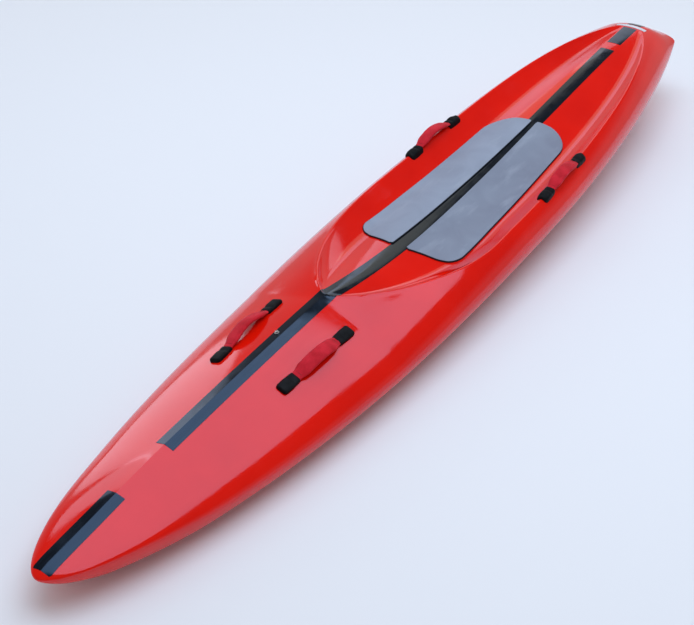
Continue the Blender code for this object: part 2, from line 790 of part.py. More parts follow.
def pad_outline(side):
    """A knee pad in plan, as distances from the nose and from the centre line."""
    fore, aft = PAD_CORNER_FORE, PAD_CORNER_AFT
    outline = [(PAD_START, PAD_GAP_FORE / 2)]
    outline += rounded_run((PAD_START + fore, PAD_HALF_FORE - fore), (fore, fore), 180, 90, 5)
    outline += rounded_run((PAD_END - aft, PAD_HALF_AFT - aft), (aft, aft), 90, 12, 6)
    outline += [(PAD_END, PAD_GAP_AFT / 2)]
    return [(NOSE_X - s, side * y) for s, y in outline]


def add_pads():
    """Two pads cut from the deck's own shape, rebated underneath for the band."""
    cover = 2 * FIT + BAND_THICKNESS
    slab = deck_slab(PAD_START, PAD_END, -PAD_THICKNESS, cover, BESIDE_BAND)
    rebate = add_object("band_rebate", mesh_from("rebate", slab), None, STANCE)
    edge = BAND_HALF + FIT
    room = box((-BOARD_LENGTH, BOARD_LENGTH), (-edge, edge), (-BOARD_LENGTH, BOARD_LENGTH))
    cut(rebate, add_object("band_rebate_room", mesh_from("room", room), None, STANCE), "INTERSECT")
    sides = (("knee_pad_port", 1, PORT_COLUMNS), ("knee_pad_starboard", -1, STARBOARD_COLUMNS))
    for name, side, columns in sides:
        slab = deck_slab(PAD_START, PAD_END, FIT, FIT + PAD_THICKNESS, columns)
        pad = add_object(name, mesh_from(name, slab), ((0.19, 0.25, 0.34), 0.75), STANCE)
        outline = mesh_from("outline", prism(pad_outline(side), 0.0, DECK_CLEAR))
        cut(pad, add_object(name + "_outline", outline, None, STANCE), "INTERSECT")
        cut(pad, rebate)


def add_tail_strip():
    """A pale bar across the deck between the last two pieces of the band."""
    start = BANDS["band_tail"][1]
    room = LAST_BAND_START - start
    margin = (room - TAIL_STRIP_LENGTH) / 2
    half = TAIL_STRIP_WIDTH / 2
    fore = []
    for k in range(SIDES + 1):
        y = half * (1 - 2 * k / SIDES)
        fore.append((start + margin - TAIL_STRIP_BOW * (y / half) ** 2, y))
    aft = [(s + TAIL_STRIP_LENGTH, y) for s, y in fore[::-1]]
    outline = [(NOSE_X - s, y) for s, y in fore + aft]
    thickness = FIT + TAIL_STRIP_THICKNESS
    slab = deck_slab(start - TAIL_STRIP_BOW, start + room, FIT, thickness, DECK_COLUMNS)
    strip = add_object("tail_strip", mesh_from("strip", slab), ((0.82, 0.83, 0.86), 0.3), STANCE)
    cutter = mesh_from("outline", prism(outline, 0.0, DECK_CLEAR))
    cut(strip, add_object("tail_strip_outline", cutter, None, STANCE), "INTERSECT")


# Handles


def handle_frame(place, offset, splay):
    """A frame on the deck's high points under both screws, raised clear of all between them."""
    half = HANDLE_LENGTH / 2
    side = HANDLE_WIDTH / 2
    turn = Matrix.Rotation(splay, 3, "Z")
    centre = Vector((NOSE_X - place, offset, 0))

    def on_deck(along, across):
        point = centre + turn @ Vector((along, across, 0))
        point.z = float(deck_height(NOSE_X - point.x, point.y))
        return point

    screw = half - SCREW_SETBACK
    fore, aft = on_deck(screw, 0), on_deck(-screw, 0)
    forward = (fore - aft).normalized()
    across = sum((on_deck(x, side) - on_deck(x, -side) for x in (screw, -screw)), Vector())
    normal = forward.cross(across).normalized()
    across = normal.cross(forward)
    origin = (fore + aft) / 2
    under = [
        on_deck(way * x, WEBBING_WIDTH / 2 * share)
        for way in (-1, 1)
        for x in np.linspace(half - COVER_LENGTH, half, 7)
        for share in np.linspace(-1, 1, 9)
    ]
    origin += normal * max((point - origin).dot(normal) for point in under)
    axes = Matrix((forward, across, normal)).transposed().to_4x4()
    return Matrix.Translation(origin) @ axes


def webbing_height(x, reach):
    """Height of the webbing over its screwed ends at a distance from the handle's middle."""
    return HANDLE_RISE * max(1 - (x / reach) ** 2, 0) ** 2


def webbing_tilt(x, reach):
    u = x / reach
    return math.atan(-4 * HANDLE_RISE * u * max(1 - u * u, 0) / reach)


def cross_ring(x, z, tilt, width, thickness):
    """A flattened round section square to the webbing's run."""
    ring = []
    for k in range(SLEEVE_SIDES):
        angle = 2 * math.pi * (k + 0.5) / SLEEVE_SIDES
        y = width / 2 * math.copysign(abs(math.cos(angle)) ** SLEEVE_FLATNESS, math.cos(angle))
        out = thickness / 2 * math.copysign(abs(math.sin(angle)) ** SLEEVE_CROWN, math.sin(angle))
        ring.append((x - out * math.sin(tilt), y, z + out * math.cos(tilt)))
    return ring


def flat_ring(x, z, tilt, width, thickness):
    corners = ((1, 1), (-1, 1), (-1, -1), (1, -1))
    return [
        (
            x - up * thickness / 2 * math.sin(tilt),
            side * width / 2,
            z + up * thickness / 2 * math.cos(tilt),
        )
        for side, up in corners
    ]


def add_handle(name, place, offset, splay):
    """Webbing in a padded sleeve, screwed down at both ends under moulded covers."""
    frame = add_empty(name, handle_frame(place, offset, splay), STANCE)
    seat = FIT + WEBBING_THICKNESS / 2
    half = HANDLE_LENGTH / 2
    screw = half - SCREW_SETBACK
    reach = screw - WASHER_DIAMETER / 2 - WEBBING_FLAT
    strap_end = half - COVER_WALL - WEBBING_FLAT

    def webbing(places, width, thickness):
        rings = []
        for x in places:
            z = seat + webbing_height(x, reach)
            rings.append(flat_ring(x, z, webbing_tilt(x, reach), width, thickness))
        return loft(rings)

    arch = list(np.linspace(-reach, reach, WEBBING_STEPS))
    band = webbing([-strap_end, *arch, strap_end], WEBBING_WIDTH, WEBBING_THICKNESS)
    look = ((0.02, 0.02, 0.025), 0.8)
    strap = add_object(name + "_strap", mesh_from("strap", band), look, frame)
    hole = webbing(arch, WEBBING_WIDTH + 2 * FIT, WEBBING_THICKNESS + 2 * FIT)
    hole = add_object(name + "_bore", mesh_from("bore", hole), None, frame)

    sleeve_reach = half - COVER_LENGTH - FIT
    lean = math.sin(abs(webbing_tilt(sleeve_reach, reach)))
    sleeve_reach -= lean * SLEEVE_END_THICKNESS / 2
    rings = []
    for x in np.linspace(-sleeve_reach, sleeve_reach, WEBBING_STEPS):
        swell = 1 - (x / sleeve_reach) ** SLEEVE_TAPER
        width = SLEEVE_END_WIDTH + (HANDLE_WIDTH + SLEEVE_SWELL - SLEEVE_END_WIDTH) * swell
        thickness = SLEEVE_END_THICKNESS + (SLEEVE_THICKNESS - SLEEVE_END_THICKNESS) * swell
        z = seat + webbing_height(x, reach)
        rings.append(cross_ring(x, z, webbing_tilt(x, reach), width, thickness))
    look = ((0.50, 0.010, 0.030), 0.7)
    sleeve = mesh_from("sleeve", loft(rings))
    cut(add_object(name + "_sleeve", sleeve, look, frame, math.radians(50)), hole)
    return frame, strap, screw


def add_handle_end(name, frame, strap, screw, way, skins):
    """One end's cover, washer, screw and plug, with the holes that they sit in."""
    half = HANDLE_LENGTH / 2
    end = "fore" if way > 0 else "aft"
    label = f"{name}_{{}}_{end}"
    at_screw = add_empty(label.format("seat"), Matrix.Translation((way * screw, 0, 0)), frame)

    hole = mesh_from("hole", cylinder(SCREW_DIAMETER + 2 * FIT, -PAST, PAST))
    cut(strap, add_object(label.format("strap_hole"), hole, None, at_screw))

    top = FIT + WEBBING_THICKNESS + FIT
    washer = cylinder(WASHER_DIAMETER, top, top + WASHER_THICKNESS, LARGE_SIDES)
    washer = add_object(
        label.format("washer"), mesh_from("washer", washer), ((0.6, 0.6, 0.62), 0.3, 1.0), at_screw
    )
    hole = mesh_from("hole", cylinder(SCREW_DIAMETER + 2 * FIT, 0, PAST))
    cut(washer, add_object(label.format("washer_hole"), hole, None, at_screw))

    head = top + WASHER_THICKNESS + FIT
    radius = SCREW_DIAMETER / 2
    head_radius = SCREW_HEAD_DIAMETER / 2
    profile = [
        (0, head + SCREW_HEAD_HEIGHT),
        (head_radius * HEAD_TOP_SHARE, head + SCREW_HEAD_HEIGHT * HEAD_SHOULDER),
        (head_radius, head + SCREW_HEAD_HEIGHT * HEAD_SIDE),
        (head_radius, head),
        (radius, head),
        (radius, head - SCREW_LENGTH + SCREW_TIP),
        (radius - SCREW_TIP, head - SCREW_LENGTH),
        (0, head - SCREW_LENGTH),
    ]
    steel = ((0.62, 0.62, 0.64), 0.25, 1.0)
    add_object(label.format("screw"), mesh_from("screw", turned(profile)), steel, at_screw)

    bore = SCREW_DIAMETER / 2 + FIT
    flange = PLUG_FLANGE_DIAMETER / 2
    body = PLUG_DIAMETER / 2
    sink = -PLUG_FLANGE_THICKNESS
    blind = head - SCREW_LENGTH - SCREW_ROOM
    profile = [
        (0, blind),
        (bore, blind),
        (bore, 0),
        (flange, 0),
        (flange, sink),
        (body, sink),
        (body, -PLUG_LENGTH),
        (0, -PLUG_LENGTH),
    ]
    black = ((0.02, 0.02, 0.02), 0.5)
    plug = turned(profile, LARGE_SIDES)
    add_object(label.format("plug"), mesh_from("plug", plug), black, at_screw)
    profile = [
        (0, PAST),
        (flange + FIT, PAST),
        (flange + FIT, sink - FIT),
        (body + FIT, sink - FIT),
        (body + FIT, -PLUG_LENGTH - FIT),
        (0, -PLUG_LENGTH - FIT),
    ]
    socket = mesh_from("socket", turned(profile, LARGE_SIDES))
    socket = add_object(label.format("socket"), socket, None, at_screw)
    for skin in skins:
        cut(skin, socket)

    outer = way * half
    inner = way * (half - COVER_LENGTH)
    side = HANDLE_WIDTH / 2
    cover = box(sorted((outer, inner)), (-side, side), (-COVER_SKIRT, COVER_HEIGHT))
    corners = [
        edge
        for edge in cover.edges
        if abs(edge.verts[0].co.x - outer) < 1e-6 and abs(edge.verts[1].co.x - outer) < 1e-6
        if abs(edge.verts[0].co.y - edge.verts[1].co.y) < 1e-6
    ]
    bmesh.ops.bevel(
        cover, geom=corners, offset=COVER_CORNER, segments=4, profile=0.5, affect="EDGES", material=-1
    )
    rims = [
        edge
        for edge in cover.edges
        if all(abs(vert.co.z - COVER_HEIGHT) < 1e-6 for vert in edge.verts)
        if not all(abs(vert.co.x - inner) < 1e-6 for vert in edge.verts)
    ]
    bmesh.ops.bevel(
        cover, geom=rims, offset=COVER_EDGE, segments=2, profile=0.5, affect="EDGES", material=-1
    )
    look = ((0.012, 0.013, 0.016), 0.6)
    cover = add_object(label.format("cover"), mesh_from("cover", cover), look, frame)
    cut(cover, bpy.data.objects["hull_and_gap"])
    pocket_half = WEBBING_WIDTH / 2 + FIT
    pocket = box(
        sorted((outer - way * COVER_WALL, inner - way * COVER_WALL)),
        (-pocket_half, pocket_half),
        (-2 * COVER_SKIRT, COVER_HEIGHT - COVER_WALL),
    )
    cut(cover, add_object(label.format("pocket"), mesh_from("pocket", pocket), None, frame))


# Vent


def add_vent(skins):
    frame = add_empty("vent", deck_frame(VENT_PLACE, -VENT_OFFSET), STANCE)
    bore = VENT_BORE / 2
    body = VENT_DIAMETER / 2
    flange = VENT_FLANGE_DIAMETER / 2
    step = FIT + BAND_THICKNESS
    top = step + FIT + VENT_FLANGE_THICKNESS
    brass = ((0.75, 0.74, 0.72), 0.25, 1.0)
    profile = [
        (bore, top),
        (flange - VENT_EDGE, top),
        (flange, top - VENT_EDGE),
        (flange, step + FIT),
        (body, step + FIT),
        (body, -VENT_DEPTH),
        (bore, -VENT_DEPTH),
        (bore, top),
    ]
    mesh = mesh_from("vent_body", turned(profile, LARGE_SIDES))
    add_object("vent_body", mesh, brass, frame)
    socket = add_object(
        "vent_socket",
        mesh_from("socket", cylinder(VENT_DIAMETER + 2 * FIT, -VENT_WELL, PAST, LARGE_SIDES)),
        None,
        frame,
    )
    for skin in skins:
        cut(skin, socket)

    ring = bmesh.new()
    bmesh.ops.create_circle(ring, segments=ORING_SIDES, radius=ORING_SECTION / 2)
    bmesh.ops.rotate(ring, verts=ring.verts, matrix=Matrix.Rotation(math.pi / 2, 3, "X"))
    bmesh.ops.translate(ring, verts=ring.verts, vec=(ORING_DIAMETER / 2, 0, 0))
    bmesh.ops.spin(
        ring,
        geom=ring.verts[:] + ring.edges[:],
        cent=(0, 0, 0),
        axis=(0, 0, 1),
        angle=2 * math.pi,
        steps=LARGE_SIDES,
        use_merge=True,
    )
    bmesh.ops.remove_doubles(ring, verts=ring.verts, dist=1e-6)
    middle = top + FIT + ORING_SECTION / 2
    bmesh.ops.translate(ring, verts=ring.verts, vec=(0, 0, middle))
    add_object("vent_oring", mesh_from("oring", ring), ((0.01, 0.01, 0.01), 0.5), frame)

    seat = middle + ORING_SECTION / 2 + FIT
    radius = VENT_SCREW_DIAMETER / 2
    head = VENT_HEAD_DIAMETER / 2
    socket = VENT_HEX / 2
    profile = [
        (0, seat + VENT_HEAD_HEIGHT * VENT_HEX_FLOOR),
        (socket, seat + VENT_HEAD_HEIGHT * VENT_HEX_FLOOR),
        (socket, seat + VENT_HEAD_HEIGHT),
        (head * VENT_HEAD_TOP, seat + VENT_HEAD_HEIGHT),
        (head, seat + VENT_HEAD_HEIGHT * VENT_HEAD_SIDE),
        (head, seat),
        (radius, seat),
        (radius, seat - VENT_SCREW_LENGTH),
        (0, seat - VENT_SCREW_LENGTH),
    ]
    mesh = mesh_from("vent_screw", turned(profile))
    add_object("vent_screw", mesh, ((0.8, 0.8, 0.82), 0.25, 1.0), frame)


# Fin


def round_ends(bm, radius):
    upright = [e for e in bm.edges if abs(e.verts[0].co.z - e.verts[1].co.z) > FIT]
    bmesh.ops.bevel(
        bm, geom=upright, offset=radius, segments=4, profile=0.5, affect="EDGES", material=-1
    )


def add_fin(bottom, cores, stringer):
    place = BOARD_LENGTH - FIN_BOX_SETBACK
    half = FIN_BOX_LENGTH / 2
    fore, aft = float(keel_height(place - half)), float(keel_height(place + half))
    middle = (fore + aft) / 2
    slope = math.atan((aft - fore) / FIN_BOX_LENGTH)
    frame = Matrix.Translation((NOSE_X - place, 0, middle)) @ Matrix.Rotation(slope, 4, "Y")
    frame = add_empty("fin_box_frame", frame, STANCE)

    black = ((0.02, 0.02, 0.02), 0.5)
    width = FIN_BOX_WIDTH / 2
    shell = box((-half, half), (-width, width), (0, FIN_BOX_DEPTH))
    round_ends(shell, width * FIN_BOX_ROUNDING)
    case = add_object("fin_box", mesh_from("fin_box", shell), black, frame)
    slot_half = half - FIN_BOX_WALL
    slot = box(
        (-slot_half, slot_half),
        (-FIN_BOX_SLOT / 2, FIN_BOX_SLOT / 2),
        (-PAST, FIN_BOX_DEPTH - FIN_BOX_ROOF),
    )
    groove = box(
        (-slot_half, slot_half),
        (-FIN_GROOVE_WIDTH / 2, FIN_GROOVE_WIDTH / 2),
        (FIN_GROOVE_DEPTH, FIN_GROOVE_DEPTH + FIN_GROOVE_HEIGHT),
    )
    for name, bm in (("fin_slot", slot), ("fin_groove", groove)):
        cut(case, add_object(name, mesh_from(name, bm), None, frame))

    pocket = box((-half - FIT, half + FIT), (-width - FIT, width + FIT), (-2 * PAST, FIN_BOX_DEPTH + FIT))
    round_ends(pocket, width * FIN_BOX_ROUNDING)
    pocket = add_object("fin_box_pocket", mesh_from("pocket", pocket), None, frame)
    for piece in (bottom, stringer, *cores):
        cut(piece, pocket)

    rings = []
    foil = FIN_THICKNESS / 2
    for k in range(FIN_SECTIONS):
        t = k / (FIN_SECTIONS - 1)
        chord = FIN_TIP_CHORD + (FIN_CHORD - FIN_TIP_CHORD) * (1 - t**FIN_TAPER)
        back = FIN_RAKE * t**FIN_SWEEP
        lead = FIN_CHORD / 2 - back - (FIN_CHORD - chord) * FIN_LEAD_SHARE
        thick = foil * (1 - FIN_THINNING * t)
        rings.append(foil_ring(lead, chord, thick, -FIT - (FIN_HEIGHT - FIT) * t))
    blade = loft(rings)
    fin = add_object("fin", mesh_from("fin", blade), ((0.03, 0.03, 0.035), 0.3), frame)
    tab_aft = -FIN_TAB_LENGTH / 2
    tab_fore = FIN_TAB_LENGTH / 2
    tab = box((tab_aft, tab_fore - FIN_STEP_LENGTH), (-foil, foil), (-FIN_JOIN, FIN_TAB_HEIGHT))
    tab = add_object("fin_tab", mesh_from("tab", tab), None, frame)
    toe = box(
        (tab_fore - FIN_STEP_LENGTH - FIN_JOIN, tab_fore), (-foil, foil), (-TOE_DROP, FIN_TAB_STEP)
    )
    toe = add_object("fin_toe", mesh_from("toe", toe), None, frame)
    pin_x = tab_aft + FIN_PIN_INSET
    pin_z = FIN_GROOVE_DEPTH + FIN_GROOVE_HEIGHT / 2
    lay = Matrix.Translation((pin_x, 0, pin_z)) @ Matrix.Rotation(math.pi / 2, 4, "X")
    pin_hole = cylinder(FIN_PIN_DIAMETER + 2 * FIT, -PAST, PAST)
    pin_hole = add_object("fin_pin_hole", mesh_from("hole", pin_hole), None, frame)
    pin_hole.matrix_local = lay
    screw_x = tab_fore - FIN_STEP_LENGTH / 2
    at_screw = add_empty("fin_screw_axis", Matrix.Translation((screw_x, 0, 0)), frame)
    screw_hole = cylinder(FIN_SCREW_DIAMETER + 2 * FIT, -PAST, 2 * PAST)
    screw_hole = add_object("fin_screw_hole", mesh_from("hole", screw_hole), None, at_screw)
    for piece in (tab, toe):
        cut(fin, piece, "UNION")
    for piece in (pin_hole, screw_hole):
        cut(fin, piece)

    half_pin = FIN_PIN_LENGTH / 2
    brass = ((0.75, 0.55, 0.25), 0.3, 1.0)
    pin = cylinder(FIN_PIN_DIAMETER, -half_pin, half_pin)
    pin = add_object("fin_pin", mesh_from("pin", pin), brass, frame)
    pin.matrix_local = lay

    head_top = -TOE_DROP - FIT
    radius = FIN_SCREW_DIAMETER / 2
    head = FIN_SCREW_HEAD / 2
    profile = [
        (0, head_top + FIN_SCREW_LENGTH),
        (radius, head_top + FIN_SCREW_LENGTH),
        (radius, head_top),
        (head, head_top),
        (head * HEAD_TOP_SHARE, head_top - FIN_HEAD_HEIGHT),
        (0, head_top - FIN_HEAD_HEIGHT),
    ]
    steel = ((0.62, 0.62, 0.64), 0.25, 1.0)
    add_object("fin_screw", mesh_from("fin_screw", turned(profile)), steel, at_screw)

    nut_z = FIN_GROOVE_DEPTH + FIT
    nut = box(
        (-FIN_NUT_LENGTH / 2, FIN_NUT_LENGTH / 2),
        (-FIN_NUT_WIDTH / 2, FIN_NUT_WIDTH / 2),
        (nut_z, nut_z + FIN_NUT_HEIGHT),
    )
    nut = add_object("fin_plate_nut", mesh_from("nut", nut), brass, at_screw)
    hole = cylinder(FIN_SCREW_DIAMETER + 2 * FIT, 0, 2 * PAST)
    cut(nut, add_object("fin_nut_hole", mesh_from("hole", hole), None, at_screw))


def foil_ring(lead, chord, half, z):
    """A symmetric foil section, blunt at the front and thin at the back."""
    ring = []
    for side in (1, -1):
        shares = [k / FOIL_POINTS for k in range(FOIL_POINTS + 1)]
        if side < 0:
            shares = shares[::-1][1:-1]
        for share in shares:
            x = share * share * (3 - 2 * share)
            y = half * (FOIL_FULLNESS * math.sqrt(x) * (1 - x) + FOIL_TRAILING * x)
            ring.append((lead - chord * x, side * min(y, half), z))
    return ring


def lower_hull(points):
    """The points on which a flat floor can press from below, from tail to nose."""
    chain = []
    for x, z in sorted(points):
        while len(chain) > 1:
            (ax, az), (bx, bz) = chain[-2], chain[-1]
            if (bx - ax) * (z - az) - (bz - az) * (x - ax) > 0:
                break
            chain.pop()
        chain.append((x, z))
    return chain


def world_corners():
    graph = bpy.context.evaluated_depsgraph_get()
    found = []
    for obj in PARTS.objects:
        if obj.type != "MESH":
            continue
        evaluated = obj.evaluated_get(graph)
        mesh = evaluated.to_mesh()
        found += [obj.matrix_world @ vert.co for vert in mesh.vertices]
        evaluated.to_mesh_clear()
    return found


def stand_on_fin():
    """Tips the level board until its fin and its forward bottom share the floor, centred on it."""
    bpy.context.view_layer.update()
    chain = lower_hull([(point.x, point.z) for point in world_corners()])
    for (ax, az), (bx, bz) in zip(chain, chain[1:]):
        if ax <= 0 <= bx:
            STANCE.rotation_euler.y = math.atan2(bz - az, bx - ax)
    bpy.context.view_layer.update()
    points = world_corners()
    for axis in (0, 1):
        values = [point[axis] for point in points]
        STANCE.location[axis] -= (min(values) + max(values)) / 2
    STANCE.location.z -= min(point.z for point in points)


def main():
    deck, bottom = add_skins()
    cores, stringer = add_core()
    for name, (start, end) in BANDS.items():
        add_band(name, start, end)
    add_tail_strip()
    add_pads()
    places = (
        ("handle_bow", BOW_HANDLE_PLACE, BOW_HANDLE_OFFSET, BOW_HANDLE_SPLAY),
        (
            "handle_cockpit",
            COCKPIT_HANDLE_PLACE,
            COCKPIT_HANDLE_OFFSET,
            COCKPIT_HANDLE_SPLAY,
        ),
    )
    for label, place, offset, splay in places:
        for name, side, core in (("port", 1, cores[0]), ("starboard", -1, cores[1])):
            label_here = f"{label}_{name}"
            frame, strap, screw = add_handle(label_here, place, side * offset, -side * splay)
            for way in (1, -1):
                add_handle_end(label_here, frame, strap, screw, way, (deck, core))
    band = bpy.data.objects["band_middle"]
    add_vent((deck, cores[1], band))
    add_fin(bottom, cores, stringer)
    stand_on_fin()


main()
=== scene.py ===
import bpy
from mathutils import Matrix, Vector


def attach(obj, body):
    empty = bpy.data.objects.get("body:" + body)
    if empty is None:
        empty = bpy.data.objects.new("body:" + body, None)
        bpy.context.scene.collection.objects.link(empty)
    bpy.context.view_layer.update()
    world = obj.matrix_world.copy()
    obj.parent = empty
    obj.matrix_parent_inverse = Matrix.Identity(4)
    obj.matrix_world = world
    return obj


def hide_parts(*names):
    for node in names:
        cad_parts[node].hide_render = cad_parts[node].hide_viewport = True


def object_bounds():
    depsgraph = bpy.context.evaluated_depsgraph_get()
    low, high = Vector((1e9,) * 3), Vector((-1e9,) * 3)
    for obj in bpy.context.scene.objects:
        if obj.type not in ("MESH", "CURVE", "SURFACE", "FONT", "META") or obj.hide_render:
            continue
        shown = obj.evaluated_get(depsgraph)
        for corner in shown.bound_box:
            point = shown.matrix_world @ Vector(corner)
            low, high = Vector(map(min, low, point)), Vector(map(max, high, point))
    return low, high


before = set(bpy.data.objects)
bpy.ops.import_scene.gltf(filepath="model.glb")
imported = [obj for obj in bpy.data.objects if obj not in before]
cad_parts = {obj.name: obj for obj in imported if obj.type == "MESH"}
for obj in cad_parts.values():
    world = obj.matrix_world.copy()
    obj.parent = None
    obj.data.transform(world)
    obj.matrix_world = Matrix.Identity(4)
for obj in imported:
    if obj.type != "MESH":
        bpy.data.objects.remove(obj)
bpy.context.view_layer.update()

import math

import bmesh
import bpy
import numpy as np
from mathutils import Matrix, Vector, noise

print("frame loaded,", len(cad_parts), "nodes")

# hull lines, in metres: s runs aft from the nose, y to port, z up from the flat of the bottom
hull = {
    "length": 3.20,
    "halfBeam": 0.277,
    "widest": 1.67,
    "frames": [0.0, 0.15, 0.40, 1.05, 1.90, 2.60, 3.07, 3.20],
    "keel": [0.108, 0.043, 0.010, 0.0033, 0.0, 0.0083, 0.034, 0.055],
    "rail": [0.128, 0.1186, 0.091, 0.067, 0.0743, 0.0867, 0.0821, 0.100],
    "crown": [0.139, 0.1522, 0.1764, 0.1955, 0.1923, 0.2174, 0.170, 0.1122],
    "shapeFrames": [0.0, 0.40, 1.05, 1.70, 3.20],
    "deckShape": [1.08, 0.95, 1.05, 2.55, 2.06],   # near 1 a roof with a ridge, above 2 a barrel
    "deckFullness": 1.8,
    "bellyFrames": [0.0, 1.05],
    "bellyShape": [2.56, 3.8],
    "bellyFullness": [2.0, 2.5],
    "bowPlan": (2.2, 1.71),                        # powers of the outline forward of the widest place,
    "quarterPlan": 2.48,                           # aft of it
    "cornerPlan": 2.6,                             # and at the tail's corners
    "noseRadius": 0.050,
    "tailRadius": 0.020,
    "tailHalf": 0.118,
    "tailCorner": 0.030,
    "bluntEnd": 0.985,
    "noseDown": 2.697239767,                       # degrees, how the board stands on its fin
    "standAt": (-0.0051819682, 0.0, 0.046036683),
}

# sunk cockpit
cockpit = {
    "mouth": 1.076,
    "scoop": 0.55,
    "scoopPlan": 0.75,        # power of the rim's outline at the mouth
    "low": 1.80,
    "ramp": 2.5,              # power of the slope down to the floor
    "floor": 0.1227,
    "end": 3.07,
    "runoutHeight": 0.1742,
    "narrows": 2.10,
    "narrowing": 4.5,
    "gunwale": 0.046,
    "well": 0.69,
    "wall": 0.36,
    "footRounding": 0.35,
    "rimRounding": 0.08,
    "railFade": 20,           # power with which the dish ends at the rail
    "beadHeight": 0.0022,
    "beadWidth": 0.0075,
    "beadInset": 0.002,
    "beadStop": 0.03,         # how far before the cockpit's end the bead has faded out
    "beadFade": 0.20,
    "beadRailFade": 8,
    "beadDip": 0.8,           # share of its height that it loses on the centre line
    "beadDipWidth": 0.03,
}

# the grid of distances from the rim's line: metres that it reaches past the cockpit's ends, its cell,
# how far along the hull the nearest point is looked for, and the points on the line
rimGrid = {"before": 0.06, "after": 0.04, "cell": 0.002, "reach": 0.12, "points": 900, "mouthPoints": 300}


def between(value, start, end):
    # 0 before the start, 1 after the end and even in between
    return np.clip((value - start) / (end - start), 0, 1)


def ease(share):
    # a gentle start and a gentle stop
    return share * share * (3 - 2 * share)


def bell(offset, width):
    # 1 where there is no offset, falling away over the width
    return np.exp(-((offset / width) ** 2))


def barrel(share, widthPower, heightPower):
    # a rounded section: 1 in the middle and 0 at the edge
    return (1 - np.clip(share, 0, 1) ** widthPower) ** (1 / heightPower)


def fromMiddle(s):
    # the x of a place along the hull; it turns an x back into its place too
    return hull["length"] / 2 - s


def fair(places, values, s):
    # a fair curve through the values that never overshoots them
    places, values = np.asarray(places, float), np.asarray(values, float)
    steps = np.diff(places)
    slopes = np.diff(values) / steps
    tangents = np.zeros(len(places))
    for k in range(1, len(places) - 1):
        if slopes[k - 1] * slopes[k] > 0:
            before = 2 * steps[k] + steps[k - 1]
            after = steps[k] + 2 * steps[k - 1]
            tangents[k] = (before + after) / (before / slopes[k - 1] + after / slopes[k])
    tangents[0], tangents[-1] = slopes[0], slopes[-1]
    s = np.clip(s, places[0], places[-1])
    k = np.clip(np.searchsorted(places, s, side="right") - 1, 0, len(steps) - 1)
    t = (s - places[k]) / steps[k]
    return (
        values[k] * (1 + 2 * t) * (1 - t) ** 2
        + steps[k] * tangents[k] * t * (1 - t) ** 2
        + values[k + 1] * t * t * (3 - 2 * t)
        - steps[k] * tangents[k + 1] * t * t * (1 - t)
    )


def halfBeam(s):
    length, widest, tail = hull["length"], hull["widest"], hull["tailHalf"]
    bow = hull["halfBeam"] * barrel(1 - s / widest, *hull["bowPlan"])
    quarter = tail + (hull["halfBeam"] - tail) * (1 - between(s, widest, length) ** hull["quarterPlan"])
    corner = np.clip((s - length + hull["tailCorner"]) / hull["tailCorner"], 0, hull["bluntEnd"])
    return np.where(s < widest, bow, quarter) * barrel(corner, hull["cornerPlan"], hull["cornerPlan"])


def endClosing(s):
    nose = np.clip(1 - s / hull["noseRadius"], 0, 1)
    tail = np.clip(1 - (hull["length"] - s) / hull["tailRadius"], 0, hull["bluntEnd"])
    return np.sqrt(1 - nose**2) * np.sqrt(1 - tail**2)


def railHeight(s):
    return fair(hull["frames"], hull["rail"], s)


def crownHeight(s):
    rail = railHeight(s)
    return rail + (fair(hull["frames"], hull["crown"], s) - rail) * endClosing(s)


def keelHeight(s):
    rail = railHeight(s)
    return rail - (rail - fair(hull["frames"], hull["keel"], s)) * endClosing(s)


def shareAcross(s, y):
    return np.clip(np.abs(y) / np.maximum(halfBeam(s), 1e-9), 0, 1)


def crownSurface(s, y):
    rail = railHeight(s)
    shape = np.interp(s, hull["shapeFrames"], hull["deckShape"])
    return rail + (crownHeight(s) - rail) * barrel(shareAcross(s, y), shape, hull["deckFullness"])


def spineHeight(s):
    mouth, low, floor = cockpit["mouth"], cockpit["low"], cockpit["floor"]
    ramp = floor + (crownHeight(mouth) - floor) * (1 - between(s, mouth, low)) ** cockpit["ramp"]
    runout = floor + (cockpit["runoutHeight"] - floor) * ease(between(s, low, cockpit["end"]))
    return np.where(s < low, ramp, runout)


def rimHalf(s):
    scoop = 1 - np.clip((s - cockpit["mouth"]) / cockpit["scoop"], 0, 1)
    narrow = between(s, cockpit["narrows"], cockpit["end"]) ** cockpit["narrowing"]
    full = np.maximum(halfBeam(s) - cockpit["gunwale"], 0)
    return full * (1 - scoop**2) ** cockpit["scoopPlan"] * (1 - narrow) ** 0.5


def softLeast(a, b, blend):
    # the lesser of two values, with a rounded corner where they cross
    return (a + b - np.sqrt((a - b) ** 2 + blend**2)) / 2


def wallProfile(x):
    # 0 outside the cockpit and 1 on its floor
    return -softLeast(-softLeast(x, 1.0, cockpit["footRounding"]), 0.0, cockpit["rimRounding"])


def dishDepth(s, y):
    out = np.abs(y) / np.maximum(rimHalf(s), 1e-4)
    depth = np.maximum(crownHeight(s) - spineHeight(s), 0) * (1 + cockpit["well"] * np.minimum(out, 1) ** 2)
    rail = shareAcross(s, y) ** cockpit["railFade"]
    cut = depth * wallProfile((1 - out) / cockpit["wall"]) * (1 - rail)
    return np.where((s > cockpit["mouth"]) & (s < cockpit["end"]), cut, 0)


